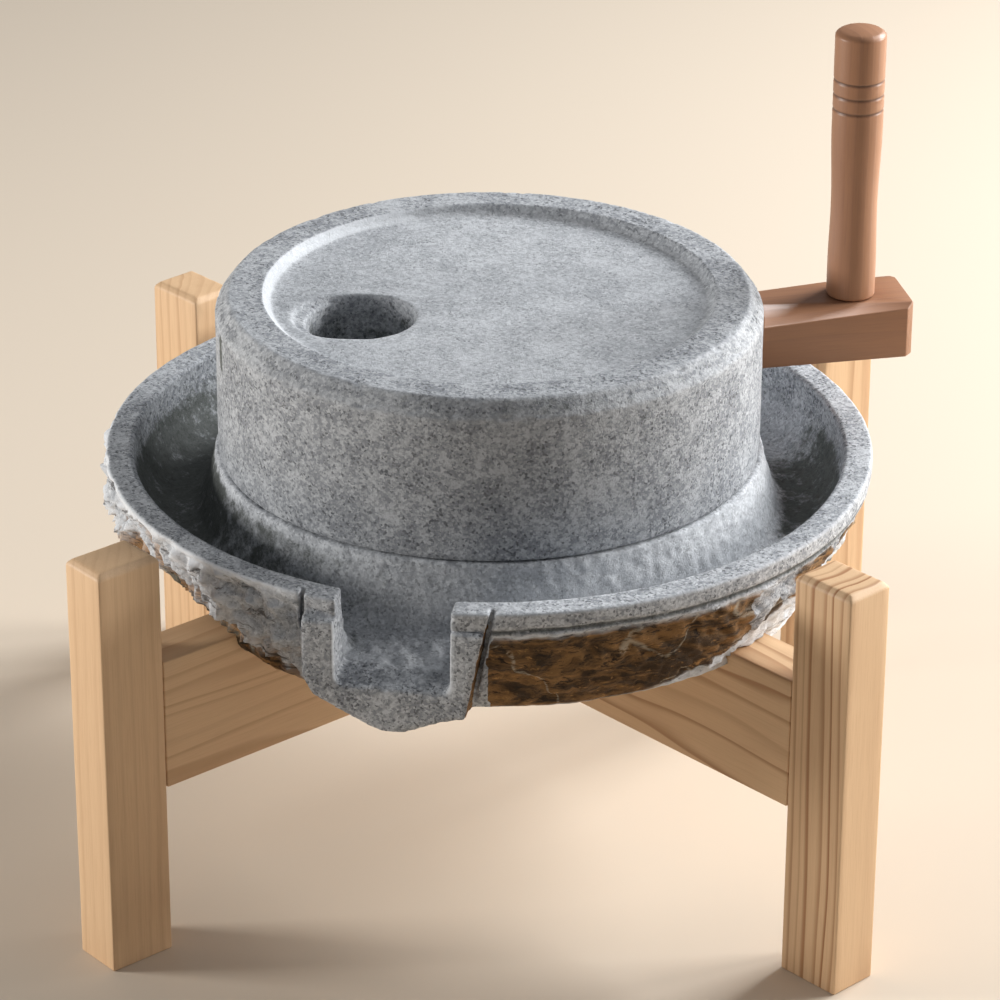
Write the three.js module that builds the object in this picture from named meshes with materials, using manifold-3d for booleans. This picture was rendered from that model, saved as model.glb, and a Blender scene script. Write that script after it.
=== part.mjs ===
// A hand-turned stone mill on a pine stand: two granite millstones, a wooden crank and a crossed stand.
// Millimetres, +Z up. The origin is on the floor under the axis that the runner turns on, and the spout
// pours towards -Y.
import * as THREE from "three";
import { mergeVertices } from "three/addons/utils/BufferGeometryUtils.js";
import Module from "manifold-3d";

const wasm = await Module();
wasm.setup();

// ---- Driving dimensions -------------------------------------------------------------------------------
const GAP = 0.3; // clearance between pieces that touch
const ROUND_SIDES = 72; // sides of the big turned shapes
const SMALL_SIDES = 24; // sides of the grip, the pin and their holes
const HOLE_SIDES = 48; // sides of the feed hole
const CUT_PAST = 4; // how far a cutting shape reaches past the face that it cuts

// Levels above the floor
const RAIL_BOTTOM = 83;
const RAIL_TOP = 146;
const CRADLE_LEVEL = 137; // rails are cut down to this level under the base stone
const BED_TOP = 187.2;
const RIM_TOP = 189;
const LEG_HEIGHT = 198.5;
const RUNNER_TOP = 264;

// Runner stone
const RUNNER_RADIUS = 125;
const BEVEL_WIDTH = 5.3;
const BEVEL_DROP = 7.6;
const DISH_RADIUS = 103.6;
const DISH_DEPTH = 5;
const DISH_COVE = 7; // width of the slope between the ring and the dish floor
const FEED_HOLE_RADIUS = 25;
const FEED_HOLE_DISTANCE = 61.3;
const FEED_HOLE_ANGLE = -150.7;
const WORN_LIP_ANGLE = -166.6; // the side of the feed hole that is worn down
const WORN_LIP_SHIFT = 7;
const WORN_LIP_DEPTH = 2.6;

// Base stone
const RIM_OUTER_RADIUS = 177.1;
const RIM_INNER_RADIUS = 164;
const BAND_HEIGHT = 9; // the smooth turned band under the rim
const BED_RADIUS = 126.5;
const TROUGH_FLOOR = 157;
const TROUGH_INNER_RADIUS = 136;
const TROUGH_OUTER_RADIUS = 149;
const FOOT_RADIUS = 166; // underside where the rough side is full
const HOLLOW_FOOT_RADIUS = 147; // underside where the side is hewn away most
// Where the rough side is hewn away: the direction, the half-width in degrees and how much of the way
const HOLLOWS = [
  [-141, 22, 1],
  [-8, 20, 0.6],
  [95, 26, 0.7],
];
const SIDE_BULGE = 4.5; // the rough side stands proud of the band on one side
const SIDE_BULGE_ANGLE = -170;

// Spout, seen from the front: the cheeks, the channel between them and the chin below
const SPOUT_FRONT = 177.2; // distance of the sawn front face from the axis
const SPOUT_LEFT = -48;
const SPOUT_RIGHT = 33;
const CHANNEL_LEFT = -33.4;
const CHANNEL_RIGHT = 17.6;
const CHANNEL_FRONT_LEVEL = 149.5;
const CHANNEL_START = 138; // where the channel's floor leaves the trough's floor
const CHIN_LEVEL = 128;
const SPOUT_BACK = 148; // how far in the spout's block starts
const KERF_WIDTH = 2.2; // saw cuts beside the cheeks
const KERF_DEPTH = 6;
const KERF_LENGTH = 52;
const KERF_LEAN = 11; // the right-hand cut leans out at the top
const LEDGE_DROP = 0.6; // the cheeks' ledges lie this far under the band

// Centre pin
const PIN_RADIUS = 7;
const PIN_STAND_OUT = 20;
const PIN_LET_IN = 24;
const PIN_CLEARANCE = 1;

// Crank
const CRANK_ANGLE = 22.8;
const ARM_WIDTH = 36.4;
const ARM_BOTTOM = 221.4;
const ARM_TOP = 247.7;
const ARM_END = 197.2;
const ARM_LET_IN = 34; // how deep the arm goes into the runner
const ARM_END_CHAMFER = 3.5;
const GRIP_DISTANCE = 171;
const GRIP_TENON_RADIUS = 7.5;
const GRIP_TENON_LENGTH = 18;
// Grip profile: radius at a height above the arm, from the foot to the edge of the top chamfer
const GRIP_PROFILE = [
  [10.3, 0],
  [11.2, 8],
  [11.2, 20],
  [10.8, 42],
  [11.2, 58],
  [11.7, 78],
  [11.7, 122],
  [11.2, 126.5],
  [9.1, 129],
];
const GRIP_RING_HEIGHTS = [91.8, 98.6, 105.9];
const GRIP_RING_WIDTH = 1.3;
const GRIP_RING_DEPTH = 0.5;

// Stand
const STAND_SHIFT_X = 3; // the stones sit a little off the stand's centre
const RAIL_ANGLES = { over: -35.8, under: -128.5 };
const RAIL_THICKNESS = 25;
const LEG_DISTANCE = 218;
const LEG_DEPTH = 32.5; // along the rail
const LEG_WIDTH = 24.8; // across the rail
const LEG_CHAMFER = 2.4;
const TENON_LENGTH = 16;
const TENON_THICKNESS = 12;
const TENON_SHOULDER = 8; // rail height left above and below the tenon
const CRADLE_RADIUS = 164; // where the rails' tops step up again, under the base stone's edge

// ---- Small helpers --------------------------------------------------------------------------------------
const radians = THREE.MathUtils.degToRad;

// A closed geometry as a solid.
function solid(geometry) {
  const plain = geometry.index ? geometry.clone() : geometry;
  plain.deleteAttribute("normal");
  plain.deleteAttribute("uv");
  const merged = mergeVertices(plain, 1e-4);
  return new wasm.Manifold(
    new wasm.Mesh({
      numProp: 3,
      vertProperties: new Float32Array(merged.attributes.position.array),
      triVerts: new Uint32Array(merged.index.array),
    }),
  );
}

// A solid as a geometry for a mesh.
function geometryOf(manifold) {
  const mesh = manifold.getMesh();
  const geometry = new THREE.BufferGeometry();
  geometry.setAttribute("position", new THREE.BufferAttribute(mesh.vertProperties, 3));
  geometry.setIndex(new THREE.BufferAttribute(mesh.triVerts, 1));
  return geometry;
}

// A block between two corners.
function block([x0, y0, z0], [x1, y1, z1]) {
  const geometry = new THREE.BoxGeometry(x1 - x0, y1 - y0, z1 - z0);
  geometry.translate((x0 + x1) / 2, (y0 + y1) / 2, (z0 + z1) / 2);
  return solid(geometry);
}

// A turned shape about Z. The profile's [radius, z] points run from the axis, up the outside, to the axis.
function turnedGeometry(profile, sides) {
  const geometry = new THREE.LatheGeometry(
    profile.map(([radius, z]) => new THREE.Vector2(radius, z)),
    sides,
  );
  geometry.rotateX(Math.PI / 2);
  return geometry;
}

// A flat outline of [u, v] points, pushed from the level `from` up to the level `to`.
function slabGeometry(outline, from, to) {
  const shape = new THREE.Shape(outline.map(([u, v]) => new THREE.Vector2(u, v)));
  const geometry = new THREE.ExtrudeGeometry(shape, { depth: to - from, bevelEnabled: false });
  geometry.translate(0, 0, from);
  return geometry;
}

function pillar(radius, from, to, sides) {
  const profile = [
    [0, from],
    [radius, from],
    [radius, to],
    [0, to],
  ];
  return solid(turnedGeometry(profile, sides));
}

function polar(distance, degrees) {
  const angle = radians(degrees);
  return [distance * Math.cos(angle), distance * Math.sin(angle)];
}

function material(color, roughness, metalness = 0) {
  return new THREE.MeshStandardMaterial({ color, roughness, metalness });
}

const millstones = new THREE.Group();

function addMesh(parent, name, manifold, look) {
  const mesh = new THREE.Mesh(geometryOf(manifold), look);
  mesh.name = name;
  parent.add(mesh);
  return mesh;
}

// ---- Base stone -------------------------------------------------------------------------------------------
// How far round from one direction to another, in degrees, the short way.
function turnBetween(degrees, other) {
  const turn = Math.abs(degrees - other) % 360;
  return Math.min(turn, 360 - turn);
}

// Radius of the rough outside at an angle and a share of the height between the foot (0) and the band (1).
function roughRadius(degrees, share) {
  const full = FOOT_RADIUS + (RIM_OUTER_RADIUS - FOOT_RADIUS) * (1 - (1 - share) ** 3);
  const hewnShare = share * (1.2 - 0.2 * share);
  const hewn = HOLLOW_FOOT_RADIUS + (RIM_OUTER_RADIUS - HOLLOW_FOOT_RADIUS) * hewnShare;
  let hollow = 0;
  for (const [direction, halfWidth, strength] of HOLLOWS) {
    hollow += strength * Math.exp(-((turnBetween(degrees, direction) / halfWidth) ** 2));
  }
  const towards = Math.max(0, Math.cos(radians(degrees - SIDE_BULGE_ANGLE)));
  const nearBand = Math.sin(Math.PI * Math.max(0, (share - 0.35) / 0.65));
  return THREE.MathUtils.lerp(full, hewn, hollow) + SIDE_BULGE * towards * nearBand;
}

// The stone's outer shape: flat underside, rough side, smooth band, flat rim and a solid top.
function baseBody() {
  const underside = CRADLE_LEVEL + GAP;
  const bandBottom = RIM_TOP - BAND_HEIGHT;
  const shares = [0, 0.12, 0.28, 0.46, 0.64, 0.8, 0.92];
  const level = (share) => underside + share * (bandBottom - underside);
  const profile = [[0, underside]];
  for (const share of shares) {
    profile.push([FOOT_RADIUS, level(share)]);
  }
  profile.push([RIM_OUTER_RADIUS, bandBottom]);
  profile.push([RIM_OUTER_RADIUS, RIM_TOP]);
  profile.push([0, RIM_TOP]);
  const geometry = turnedGeometry(profile, ROUND_SIDES);
  const position = geometry.getAttribute("position");
  const rings = profile.length;
  for (let i = 0; i < position.count; i++) {
    const ring = i % rings;
    if (ring < 1 || ring > shares.length) continue;
    const angle = Math.atan2(position.getY(i), position.getX(i));
    const radius = roughRadius(THREE.MathUtils.radToDeg(angle), shares[ring - 1]);
    position.setXY(i, radius * Math.cos(angle), radius * Math.sin(angle));
  }
  return solid(geometry);
}

// What the trough and the lowered bed take out of the body.
function troughVoid() {
  const above = RIM_TOP + CUT_PAST;
  const wallSteps = 6;
  const profile = [
    [0, BED_TOP],
    [BED_RADIUS, BED_TOP],
    [BED_RADIUS + 1.6, BED_TOP - 8],
    [BED_RADIUS + 4.4, BED_TOP - 18],
    [TROUGH_INNER_RADIUS - 2, TROUGH_FLOOR + 3],
    [TROUGH_INNER_RADIUS + 2, TROUGH_FLOOR],
    [TROUGH_OUTER_RADIUS - 3, TROUGH_FLOOR],
  ];
  // The outer wall is a quarter of an ellipse, from the floor up to the rim's inner edge.
  for (let i = 1; i <= wallSteps; i++) {
    const turn = (i / wallSteps) * (Math.PI / 2);
    profile.push([
      TROUGH_OUTER_RADIUS - 3 + (RIM_INNER_RADIUS - TROUGH_OUTER_RADIUS + 3) * Math.sin(turn),
      TROUGH_FLOOR + (RIM_TOP - TROUGH_FLOOR) * (1 - Math.cos(turn)),
    ]);
  }
  profile.push([RIM_INNER_RADIUS, above]);
  profile.push([0, above]);
  return solid(turnedGeometry(profile, ROUND_SIDES));
}

// The block that the spout is sawn from. Its front outline is drawn in X and Z.
function spoutBlock() {
  const ledge = RIM_TOP - BAND_HEIGHT - LEDGE_DROP;
  const outline = [
    [SPOUT_LEFT, ledge],
    [SPOUT_LEFT, 153],
    [SPOUT_LEFT + 4.5, 143.5],
    [-17, 130],
    [-10.5, CHIN_LEVEL],
    [-3, CHIN_LEVEL + 0.6],
    [14, 135.8],
    [SPOUT_RIGHT - 8, 138.2],
    [SPOUT_RIGHT, ledge],
  ];
  const geometry = slabGeometry(outline, SPOUT_BACK, SPOUT_FRONT);
  geometry.rotateX(Math.PI / 2);
  // The underside runs up towards the back, into the stone's own underside.
  const position = geometry.getAttribute("position");
  for (let i = 0; i < position.count; i++) {
    const isBack = position.getY(i) > -SPOUT_BACK - 1;
    if (isBack) position.setZ(i, Math.max(position.getZ(i), CRADLE_LEVEL + 3));
  }
  return solid(geometry);
}

// The channel through the rim, with a floor that falls towards the front.
function channelVoid() {
  const above = RIM_TOP + CUT_PAST;
  const inside = CHANNEL_START - CUT_PAST;
  const outside = SPOUT_FRONT + CUT_PAST;
  const fall = (TROUGH_FLOOR - CHANNEL_FRONT_LEVEL) / (SPOUT_FRONT - CHANNEL_START);
  const outline = [
    [-inside, TROUGH_FLOOR + CUT_PAST * fall],
    [-outside, CHANNEL_FRONT_LEVEL - CUT_PAST * fall],
    [-outside, above],
    [-inside, above],
  ];
  const geometry = slabGeometry(outline, CHANNEL_LEFT, CHANNEL_RIGHT);
  // The outline is drawn in Y and Z, and the slab's own axis becomes X.
  const axes = [new THREE.Vector3(0, 1, 0), new THREE.Vector3(0, 0, 1), new THREE.Vector3(1, 0, 0)];
  geometry.applyMatrix4(new THREE.Matrix4().makeBasis(...axes));
  return solid(geometry);
}

// A saw cut beside a cheek, from the rim down along the cheek's side.
function kerf(topX, lean) {
  const half = KERF_LENGTH / 2;
  const cut = new THREE.BoxGeometry(KERF_WIDTH, KERF_DEPTH * 2, KERF_LENGTH);
  cut.rotateY(radians(lean));
  cut.translate(topX - half * Math.sin(radians(lean)), 0, RIM_TOP + 1 - half);
  const chord = Math.sqrt(RIM_OUTER_RADIUS ** 2 - topX ** 2);
  cut.translate(0, -chord, 0);
  return solid(cut);
}

// The rough side is cut away where it would stand in a rail's shoulder.
function shoulderRoom(angle) {
  const half = RAIL_THICKNESS / 2 + 1;
  return block(
    [CRADLE_RADIUS - 1, -half, CRADLE_LEVEL - CUT_PAST],
    [RIM_OUTER_RADIUS + CUT_PAST, half, RAIL_TOP + GAP],
  )
    .rotate([0, 0, angle])
    .translate([STAND_SHIFT_X, 0, 0]);
}

const baseStone = baseBody()
  .add(spoutBlock())
  .subtract(troughVoid())
  .subtract(channelVoid())
  .subtract(kerf(SPOUT_LEFT - KERF_WIDTH / 2, 0))
  .subtract(kerf(SPOUT_RIGHT + KERF_WIDTH, KERF_LEAN))
  .subtract(pillar(PIN_RADIUS + GAP, BED_TOP - PIN_LET_IN - GAP, BED_TOP + 1, SMALL_SIDES))
  .subtract(shoulderRoom(RAIL_ANGLES.over))
  .subtract(shoulderRoom(RAIL_ANGLES.under))
  .subtract(shoulderRoom(RAIL_ANGLES.over + 180))
  .subtract(shoulderRoom(RAIL_ANGLES.under + 180));
addMesh(millstones, "base_stone", baseStone, material(0x8d9194, 0.92));

// ---- Centre pin -------------------------------------------------------------------------------------------
const pinTop = BED_TOP + PIN_STAND_OUT;
const pinProfile = [
  [0, BED_TOP - PIN_LET_IN],
  [PIN_RADIUS, BED_TOP - PIN_LET_IN],
  [PIN_RADIUS, pinTop - 3],
  [PIN_RADIUS - 3, pinTop],
  [0, pinTop],
];
addMesh(
  millstones,
  "centre_pin",
  solid(turnedGeometry(pinProfile, SMALL_SIDES)),
  material(0x55524f, 0.6, 0.9),
);

// ---- Runner stone and crank -------------------------------------------------------------------------------
const crank = new THREE.Group();
crank.rotation.z = radians(CRANK_ANGLE);

function runnerBody() {
  const bottom = BED_TOP + GAP;
  const dishFloor = RUNNER_TOP - DISH_DEPTH;
  return solid(
    turnedGeometry(
      [
        [0, bottom],
        [RUNNER_RADIUS - 1, bottom],
        [RUNNER_RADIUS, bottom + 1.5],
        [RUNNER_RADIUS, RUNNER_TOP - BEVEL_DROP - 1],
        [RUNNER_RADIUS - 1.2, RUNNER_TOP - BEVEL_DROP + 1],
        [RUNNER_RADIUS - BEVEL_WIDTH, RUNNER_TOP - 0.8],
        [RUNNER_RADIUS - BEVEL_WIDTH - 1.5, RUNNER_TOP],
        [DISH_RADIUS, RUNNER_TOP],
        [DISH_RADIUS - 2.2, RUNNER_TOP - DISH_DEPTH * 0.55],
        [DISH_RADIUS - DISH_COVE, dishFloor],
        [0, dishFloor],
      ],
      ROUND_SIDES,
    ),
  );
}

// The feed hole goes right through, and its top edge is eased.
function feedHole() {
  const dishFloor = RUNNER_TOP - DISH_DEPTH;
  const profile = [
    [0, BED_TOP - 1],
    [FEED_HOLE_RADIUS, BED_TOP - 1],
    [FEED_HOLE_RADIUS, dishFloor - 3],
    [FEED_HOLE_RADIUS + 0.8, dishFloor - 0.9],
    [FEED_HOLE_RADIUS + 3, dishFloor + 1],
    [0, dishFloor + 1],
  ];
  return solid(turnedGeometry(profile, HOLE_SIDES));
}

// A shallow scoop beside the feed hole, where the stone is worn by the grain going in.
function wornLip() {
  const dishFloor = RUNNER_TOP - DISH_DEPTH;
  const profile = [
    [0, dishFloor - WORN_LIP_DEPTH],
    [FEED_HOLE_RADIUS - 4, dishFloor - WORN_LIP_DEPTH],
    [FEED_HOLE_RADIUS + 1, dishFloor],
    [FEED_HOLE_RADIUS + 2, dishFloor + 1],
    [0, dishFloor + 1],
  ];
  return solid(turnedGeometry(profile, HOLE_SIDES));
}

const holePlace = polar(FEED_HOLE_DISTANCE, FEED_HOLE_ANGLE);
const lipShift = polar(WORN_LIP_SHIFT, WORN_LIP_ANGLE);
const lipPlace = [holePlace[0] + lipShift[0], holePlace[1] + lipShift[1]];
const armStart = RUNNER_RADIUS - ARM_LET_IN;
const mortise = block(
  [armStart - GAP, -ARM_WIDTH / 2 - GAP, ARM_BOTTOM - GAP],
  [RUNNER_RADIUS + CUT_PAST, ARM_WIDTH / 2 + GAP, ARM_TOP + GAP],
).rotate([0, 0, CRANK_ANGLE]);
const pinSocket = pillar(
  PIN_RADIUS + PIN_CLEARANCE,
  BED_TOP - 1,
  BED_TOP + PIN_STAND_OUT + 2,
  SMALL_SIDES,
);
const runnerStone = runnerBody()
  .subtract(feedHole().translate([...holePlace, 0]))
  .subtract(wornLip().translate([...lipPlace, 0]))
  .subtract(mortise)
  .subtract(pinSocket);
addMesh(millstones, "runner_stone", runnerStone, material(0x9a9ea1, 0.9));

// A wedge that takes the arm's long top edge off: it starts at `from`, where it is `width` wide and `drop`
// deep, and runs out to `endWidth` and `endDrop` at `to`. `side` is -1 for the front edge and 1 for the back.
function edgeWedge(side, from, to, [width, drop], [endWidth, endDrop]) {
  const section = (along, w, d) => [
    [along, side * (ARM_WIDTH / 2 - w), ARM_TOP],
    [along, side * (ARM_WIDTH / 2), ARM_TOP - d],
    [along, side * (ARM_WIDTH / 2 + CUT_PAST), ARM_TOP - d - (CUT_PAST * d) / w],
    [along, side * (ARM_WIDTH / 2 + CUT_PAST), ARM_TOP + CUT_PAST],
    [along, side * (ARM_WIDTH / 2 - w), ARM_TOP + CUT_PAST],
  ];
  const corners = [...section(from, width, drop), ...section(to, endWidth, endDrop)];
  const faces = [];
  const sides = 5;
  for (let i = 1; i < sides - 1; i++) {
    faces.push([0, i, i + 1]);
    faces.push([sides, sides + i + 1, sides + i]);
  }
  for (let i = 0; i < sides; i++) {
    const next = (i + 1) % sides;
    faces.push([i, sides + i, sides + next]);
    faces.push([i, sides + next, next]);
  }
  const geometry = new THREE.BufferGeometry();
  geometry.setAttribute("position", new THREE.Float32BufferAttribute(corners.flat(), 3));
  geometry.setIndex(faces.flatMap(([a, b, c]) => (side > 0 ? [a, c, b] : [a, b, c])));
  return solid(geometry);
}

// The arm's outline seen from above, with its outer corners cut off.
function crankArm() {
  const half = ARM_WIDTH / 2;
  const outline = [
    [armStart, -half],
    [ARM_END - ARM_END_CHAMFER, -half],
    [ARM_END, -half + ARM_END_CHAMFER],
    [ARM_END, half - ARM_END_CHAMFER],
    [ARM_END - ARM_END_CHAMFER, half],
    [armStart, half],
  ];
  const bar = solid(slabGeometry(outline, ARM_BOTTOM, ARM_TOP));
  const past = ARM_END + 2;
  const nearStone = RUNNER_RADIUS + 0.5;
  const socket = pillar(
    GRIP_TENON_RADIUS + GAP,
    ARM_TOP - GRIP_TENON_LENGTH - GAP,
    ARM_TOP + 1,
    SMALL_SIDES,
  ).translate([GRIP_DISTANCE, 0, 0]);
  return bar
    .subtract(edgeWedge(-1, nearStone, past, [14, 5.8], [2.6, 1.8]))
    .subtract(edgeWedge(1, nearStone, GRIP_DISTANCE, [8, 4], [1.6, 1.2]))
    .subtract(edgeWedge(1, GRIP_DISTANCE - 1, past, [1.6, 1.2], [1.6, 1.2]))
    .subtract(socket);
}
addMesh(crank, "crank_arm", crankArm(), material(0xb08a72, 0.65));

// The turned grip, with a tenon below and three grooves near the top.
function crankGrip() {
  const foot = ARM_TOP + GAP;
  const profile = [
    [0, ARM_TOP - GRIP_TENON_LENGTH],
    [GRIP_TENON_RADIUS, ARM_TOP - GRIP_TENON_LENGTH],
    [GRIP_TENON_RADIUS, foot],
  ];
  let ringIndex = 0;
  for (const [radius, height] of GRIP_PROFILE) {
    while (ringIndex < GRIP_RING_HEIGHTS.length && GRIP_RING_HEIGHTS[ringIndex] < height) {
      const middle = GRIP_RING_HEIGHTS[ringIndex];
      profile.push([radius, foot + middle - GRIP_RING_WIDTH / 2]);
      profile.push([radius - GRIP_RING_DEPTH, foot + middle]);
      profile.push([radius, foot + middle + GRIP_RING_WIDTH / 2]);
      ringIndex++;
    }
    profile.push([radius, foot + height]);
  }
  const topHeight = GRIP_PROFILE.at(-1)[1];
  profile.push([0, foot + topHeight]);
  return solid(turnedGeometry(profile, SMALL_SIDES));
}
const grip = addMesh(crank, "crank_grip", crankGrip(), material(0xb08a76, 0.55));
grip.position.x = GRIP_DISTANCE;
millstones.add(crank);

// ---- Stand ------------------------------------------------------------------------------------------------
const stand = new THREE.Group();
stand.position.x = STAND_SHIFT_X;
const railReach = LEG_DISTANCE - LEG_DEPTH / 2; // the legs' inner faces

// A rail lies along X, with a tenon at each end and a shallow cradle cut into its top for the base stone.
function railBlank() {
  const half = RAIL_THICKNESS / 2;
  const shoulder = railReach - GAP;
  const board = block([-shoulder, -half, RAIL_BOTTOM], [shoulder, half, RAIL_TOP]);
  const tenon = block(
    [-shoulder - TENON_LENGTH, -TENON_THICKNESS / 2, RAIL_BOTTOM + TENON_SHOULDER],
    [shoulder + TENON_LENGTH, TENON_THICKNESS / 2, RAIL_TOP - TENON_SHOULDER],
  );
  const cradle = block(
    [-CRADLE_RADIUS, -half - 1, CRADLE_LEVEL],
    [CRADLE_RADIUS, half + 1, RAIL_TOP + 1],
  );
  return board.add(tenon).subtract(cradle);
}

// The half-lap: a slot as wide as the other rail, turned to the angle at which the two cross.
function lapSlot(from, to, turn) {
  const half = RAIL_THICKNESS / 2 + GAP;
  return block([-60, -half, from], [60, half, to]).rotate([0, 0, turn]);
}

const lapLevel = (RAIL_BOTTOM + CRADLE_LEVEL) / 2;
const crossing = RAIL_ANGLES.over - RAIL_ANGLES.under;
const rails = {
  over: railBlank().subtract(lapSlot(RAIL_BOTTOM - 1, lapLevel + GAP / 2, -crossing)),
  under: railBlank().subtract(lapSlot(lapLevel - GAP / 2, RAIL_TOP + 1, crossing)),
};
for (const [name, angle] of Object.entries(RAIL_ANGLES)) {
  const rail = addMesh(stand, `rail_${name}`, rails[name], material(0xd9b890, 0.7));
  rail.rotation.z = radians(angle);
}

// A leg stands upright with its mortise towards the middle of the stand, and its top edges are chamfered.
function leg() {
  const x = LEG_DEPTH / 2;
  const y = LEG_WIDTH / 2;
  const c = LEG_CHAMFER;
  const post = block([-x, -y, 0], [x, y, LEG_HEIGHT - c]);
  const top = new THREE.CylinderGeometry(Math.SQRT1_2, Math.SQRT1_2, c, 4);
  top.rotateX(Math.PI / 2);
  top.rotateZ(Math.PI / 4);
  const position = top.getAttribute("position");
  for (let i = 0; i < position.count; i++) {
    const inset = position.getZ(i) > 0 ? c : 0;
    position.setX(i, Math.sign(Math.round(position.getX(i) * 10)) * (x - inset));
    position.setY(i, Math.sign(Math.round(position.getY(i) * 10)) * (y - inset));
  }
  return post.add(solid(top).translate([0, 0, LEG_HEIGHT - c / 2]));
}

// The mortise that takes a rail's tenon.
function legMortise() {
  return block(
    [-LEG_DEPTH / 2 - 1, -TENON_THICKNESS / 2 - GAP, RAIL_BOTTOM + TENON_SHOULDER - GAP],
    [-LEG_DEPTH / 2 + TENON_LENGTH, TENON_THICKNESS / 2 + GAP, RAIL_TOP - TENON_SHOULDER + GAP],
  );
}

const LEG_ANGLES = {
  front_left: RAIL_ANGLES.under,
  front_right: RAIL_ANGLES.over,
  back_right: RAIL_ANGLES.under + 180,
  back_left: RAIL_ANGLES.over + 180,
};
for (const [name, angle] of Object.entries(LEG_ANGLES)) {
  const post = addMesh(stand, `leg_${name}`, leg().subtract(legMortise()), material(0xdcbf9a, 0.7));
  const [x, y] = polar(LEG_DISTANCE, angle);
  post.position.set(x, y, 0);
  post.rotation.z = radians(angle);
}

// ---- The whole mill ---------------------------------------------------------------------------------------
const group = new THREE.Group();
group.name = "stone_mill";
group.add(millstones, stand);

export default group;
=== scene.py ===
"""The looks of a hand-turned stone mill: two granite millstones, a wooden crank and a pine stand.

Every piece is made in its own place around the fixed frame. Sizes in the shape functions are in
millimetres, and a mesh is brought to metres when it is made.
"""

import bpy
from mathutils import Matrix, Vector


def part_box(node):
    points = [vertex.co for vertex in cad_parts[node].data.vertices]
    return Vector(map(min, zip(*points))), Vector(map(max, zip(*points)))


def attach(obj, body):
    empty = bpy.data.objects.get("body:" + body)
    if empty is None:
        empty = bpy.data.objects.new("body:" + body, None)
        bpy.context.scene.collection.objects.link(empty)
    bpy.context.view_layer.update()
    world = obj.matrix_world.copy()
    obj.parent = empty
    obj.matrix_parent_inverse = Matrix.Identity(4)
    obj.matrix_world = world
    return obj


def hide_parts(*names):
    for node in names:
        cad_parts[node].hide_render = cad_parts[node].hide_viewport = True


bl_info = {
    "name": "Hand-turned stone mill",
    "version": (1, 0, 0),
    "blender": (4, 5, 0),
    "location": "3D View > Sidebar > Stone Mill",
    "description": "Makes the millstones, the crank, the stand and the stage of a hand-turned stone mill",
    "category": "Add Mesh",
}

import math

import bmesh
import bpy
import numpy as np
from bpy.props import FloatProperty, FloatVectorProperty, IntProperty, PointerProperty
from mathutils import Matrix, Vector

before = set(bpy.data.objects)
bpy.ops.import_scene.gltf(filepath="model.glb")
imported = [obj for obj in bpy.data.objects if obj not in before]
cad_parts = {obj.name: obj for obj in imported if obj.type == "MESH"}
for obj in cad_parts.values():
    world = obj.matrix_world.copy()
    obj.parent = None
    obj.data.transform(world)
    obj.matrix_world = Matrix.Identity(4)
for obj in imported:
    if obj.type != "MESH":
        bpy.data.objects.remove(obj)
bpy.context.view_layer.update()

MM = 0.001


def polar(distance, degrees):
    """A point at a distance from the middle, in a direction given in degrees."""
    return distance * math.cos(math.radians(degrees)), distance * math.sin(math.radians(degrees))


def node_box(name):
    """A node's lowest and highest corners, in millimetres."""
    low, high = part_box(name)
    return np.array(low) / MM, np.array(high) / MM


# ---- Sizes that come from the frame --------------------------------------------------------------------
BASE_LOW, BASE_HIGH = node_box("base_stone")
RUNNER_LOW, RUNNER_HIGH = node_box("runner_stone")
ARM_LOW, ARM_HIGH = node_box("crank_arm")
GRIP_LOW, GRIP_HIGH = node_box("crank_grip")
RAIL_LOW, RAIL_HIGH = node_box("rail_over")

RIM_TOP = BASE_HIGH[2]
RUNNER_RADIUS = RUNNER_HIGH[0]
RUNNER_TOP = RUNNER_HIGH[2]
RUNNER_BOTTOM = RUNNER_LOW[2]
GAP = 0.3
BED_TOP = RUNNER_BOTTOM - GAP
GRIP_AXIS = (GRIP_LOW + GRIP_HIGH)[:2] / 2
CRANK_ANGLE = math.atan2(GRIP_AXIS[1], GRIP_AXIS[0])
STAND_MIDDLE = ((RAIL_LOW + RAIL_HIGH) / 2)[:2]

# ---- Base stone ----------------------------------------------------------------------------------------
UNDERSIDE = 137.3
RIM_OUTER_RADIUS = 177.1
RIM_INNER_RADIUS = 164.0
BAND_HEIGHT = 9.0
BAND_FOOT = RIM_TOP - BAND_HEIGHT
BED_RADIUS = 126.5
TROUGH_FLOOR = 157.0
FLOOR_INNER_RADIUS = 138.0
FLOOR_OUTER_RADIUS = 146.0
FOOT_RADIUS = 166.0
HOLLOW_FOOT_RADIUS = 147.0
HOLLOWS = ((-141.0, 22.0, 1.0), (-8.0, 20.0, 0.6), (95.0, 26.0, 0.7))
SIDE_BULGE = 4.5
SIDE_BULGE_ANGLE = -170.0

GROOVE_DEPTH = 1.3

SPOUT_FRONT = 177.2
SPOUT_BACK = 148.0
SPOUT_LEFT = -48.0
SPOUT_RIGHT = 33.0
SPOUT_LEDGE = BAND_FOOT
CHANNEL_LEFT = -33.4
CHANNEL_RIGHT = 17.6
CHANNEL_START = 138.0
CHANNEL_FRONT_LEVEL = 149.5
CHIN_LEVEL = 128.0
KERF_WIDTH = 2.2
KERF_DEPTH = 6.0
KERF_LEAN = 11.0
LEFT_KERF_END = 172.0
PIN_HOLE_RADIUS = 7.3
PIN_HOLE_FLOOR = 162.9
RAIL_ANGLES = {"over": -35.8, "under": -128.5}
RAIL_THICKNESS = 25.0
SHOULDER_RADIUS = 163.0
SHOULDER_LEVEL = 146.0
SHOULDER_HEIGHT = 10.5
SHOULDER_SHIFT = 10.0
# The stone reaches this far into a rail, so that no gap shows between them.
SHOULDER_OVERLAP = 0.6

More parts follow.
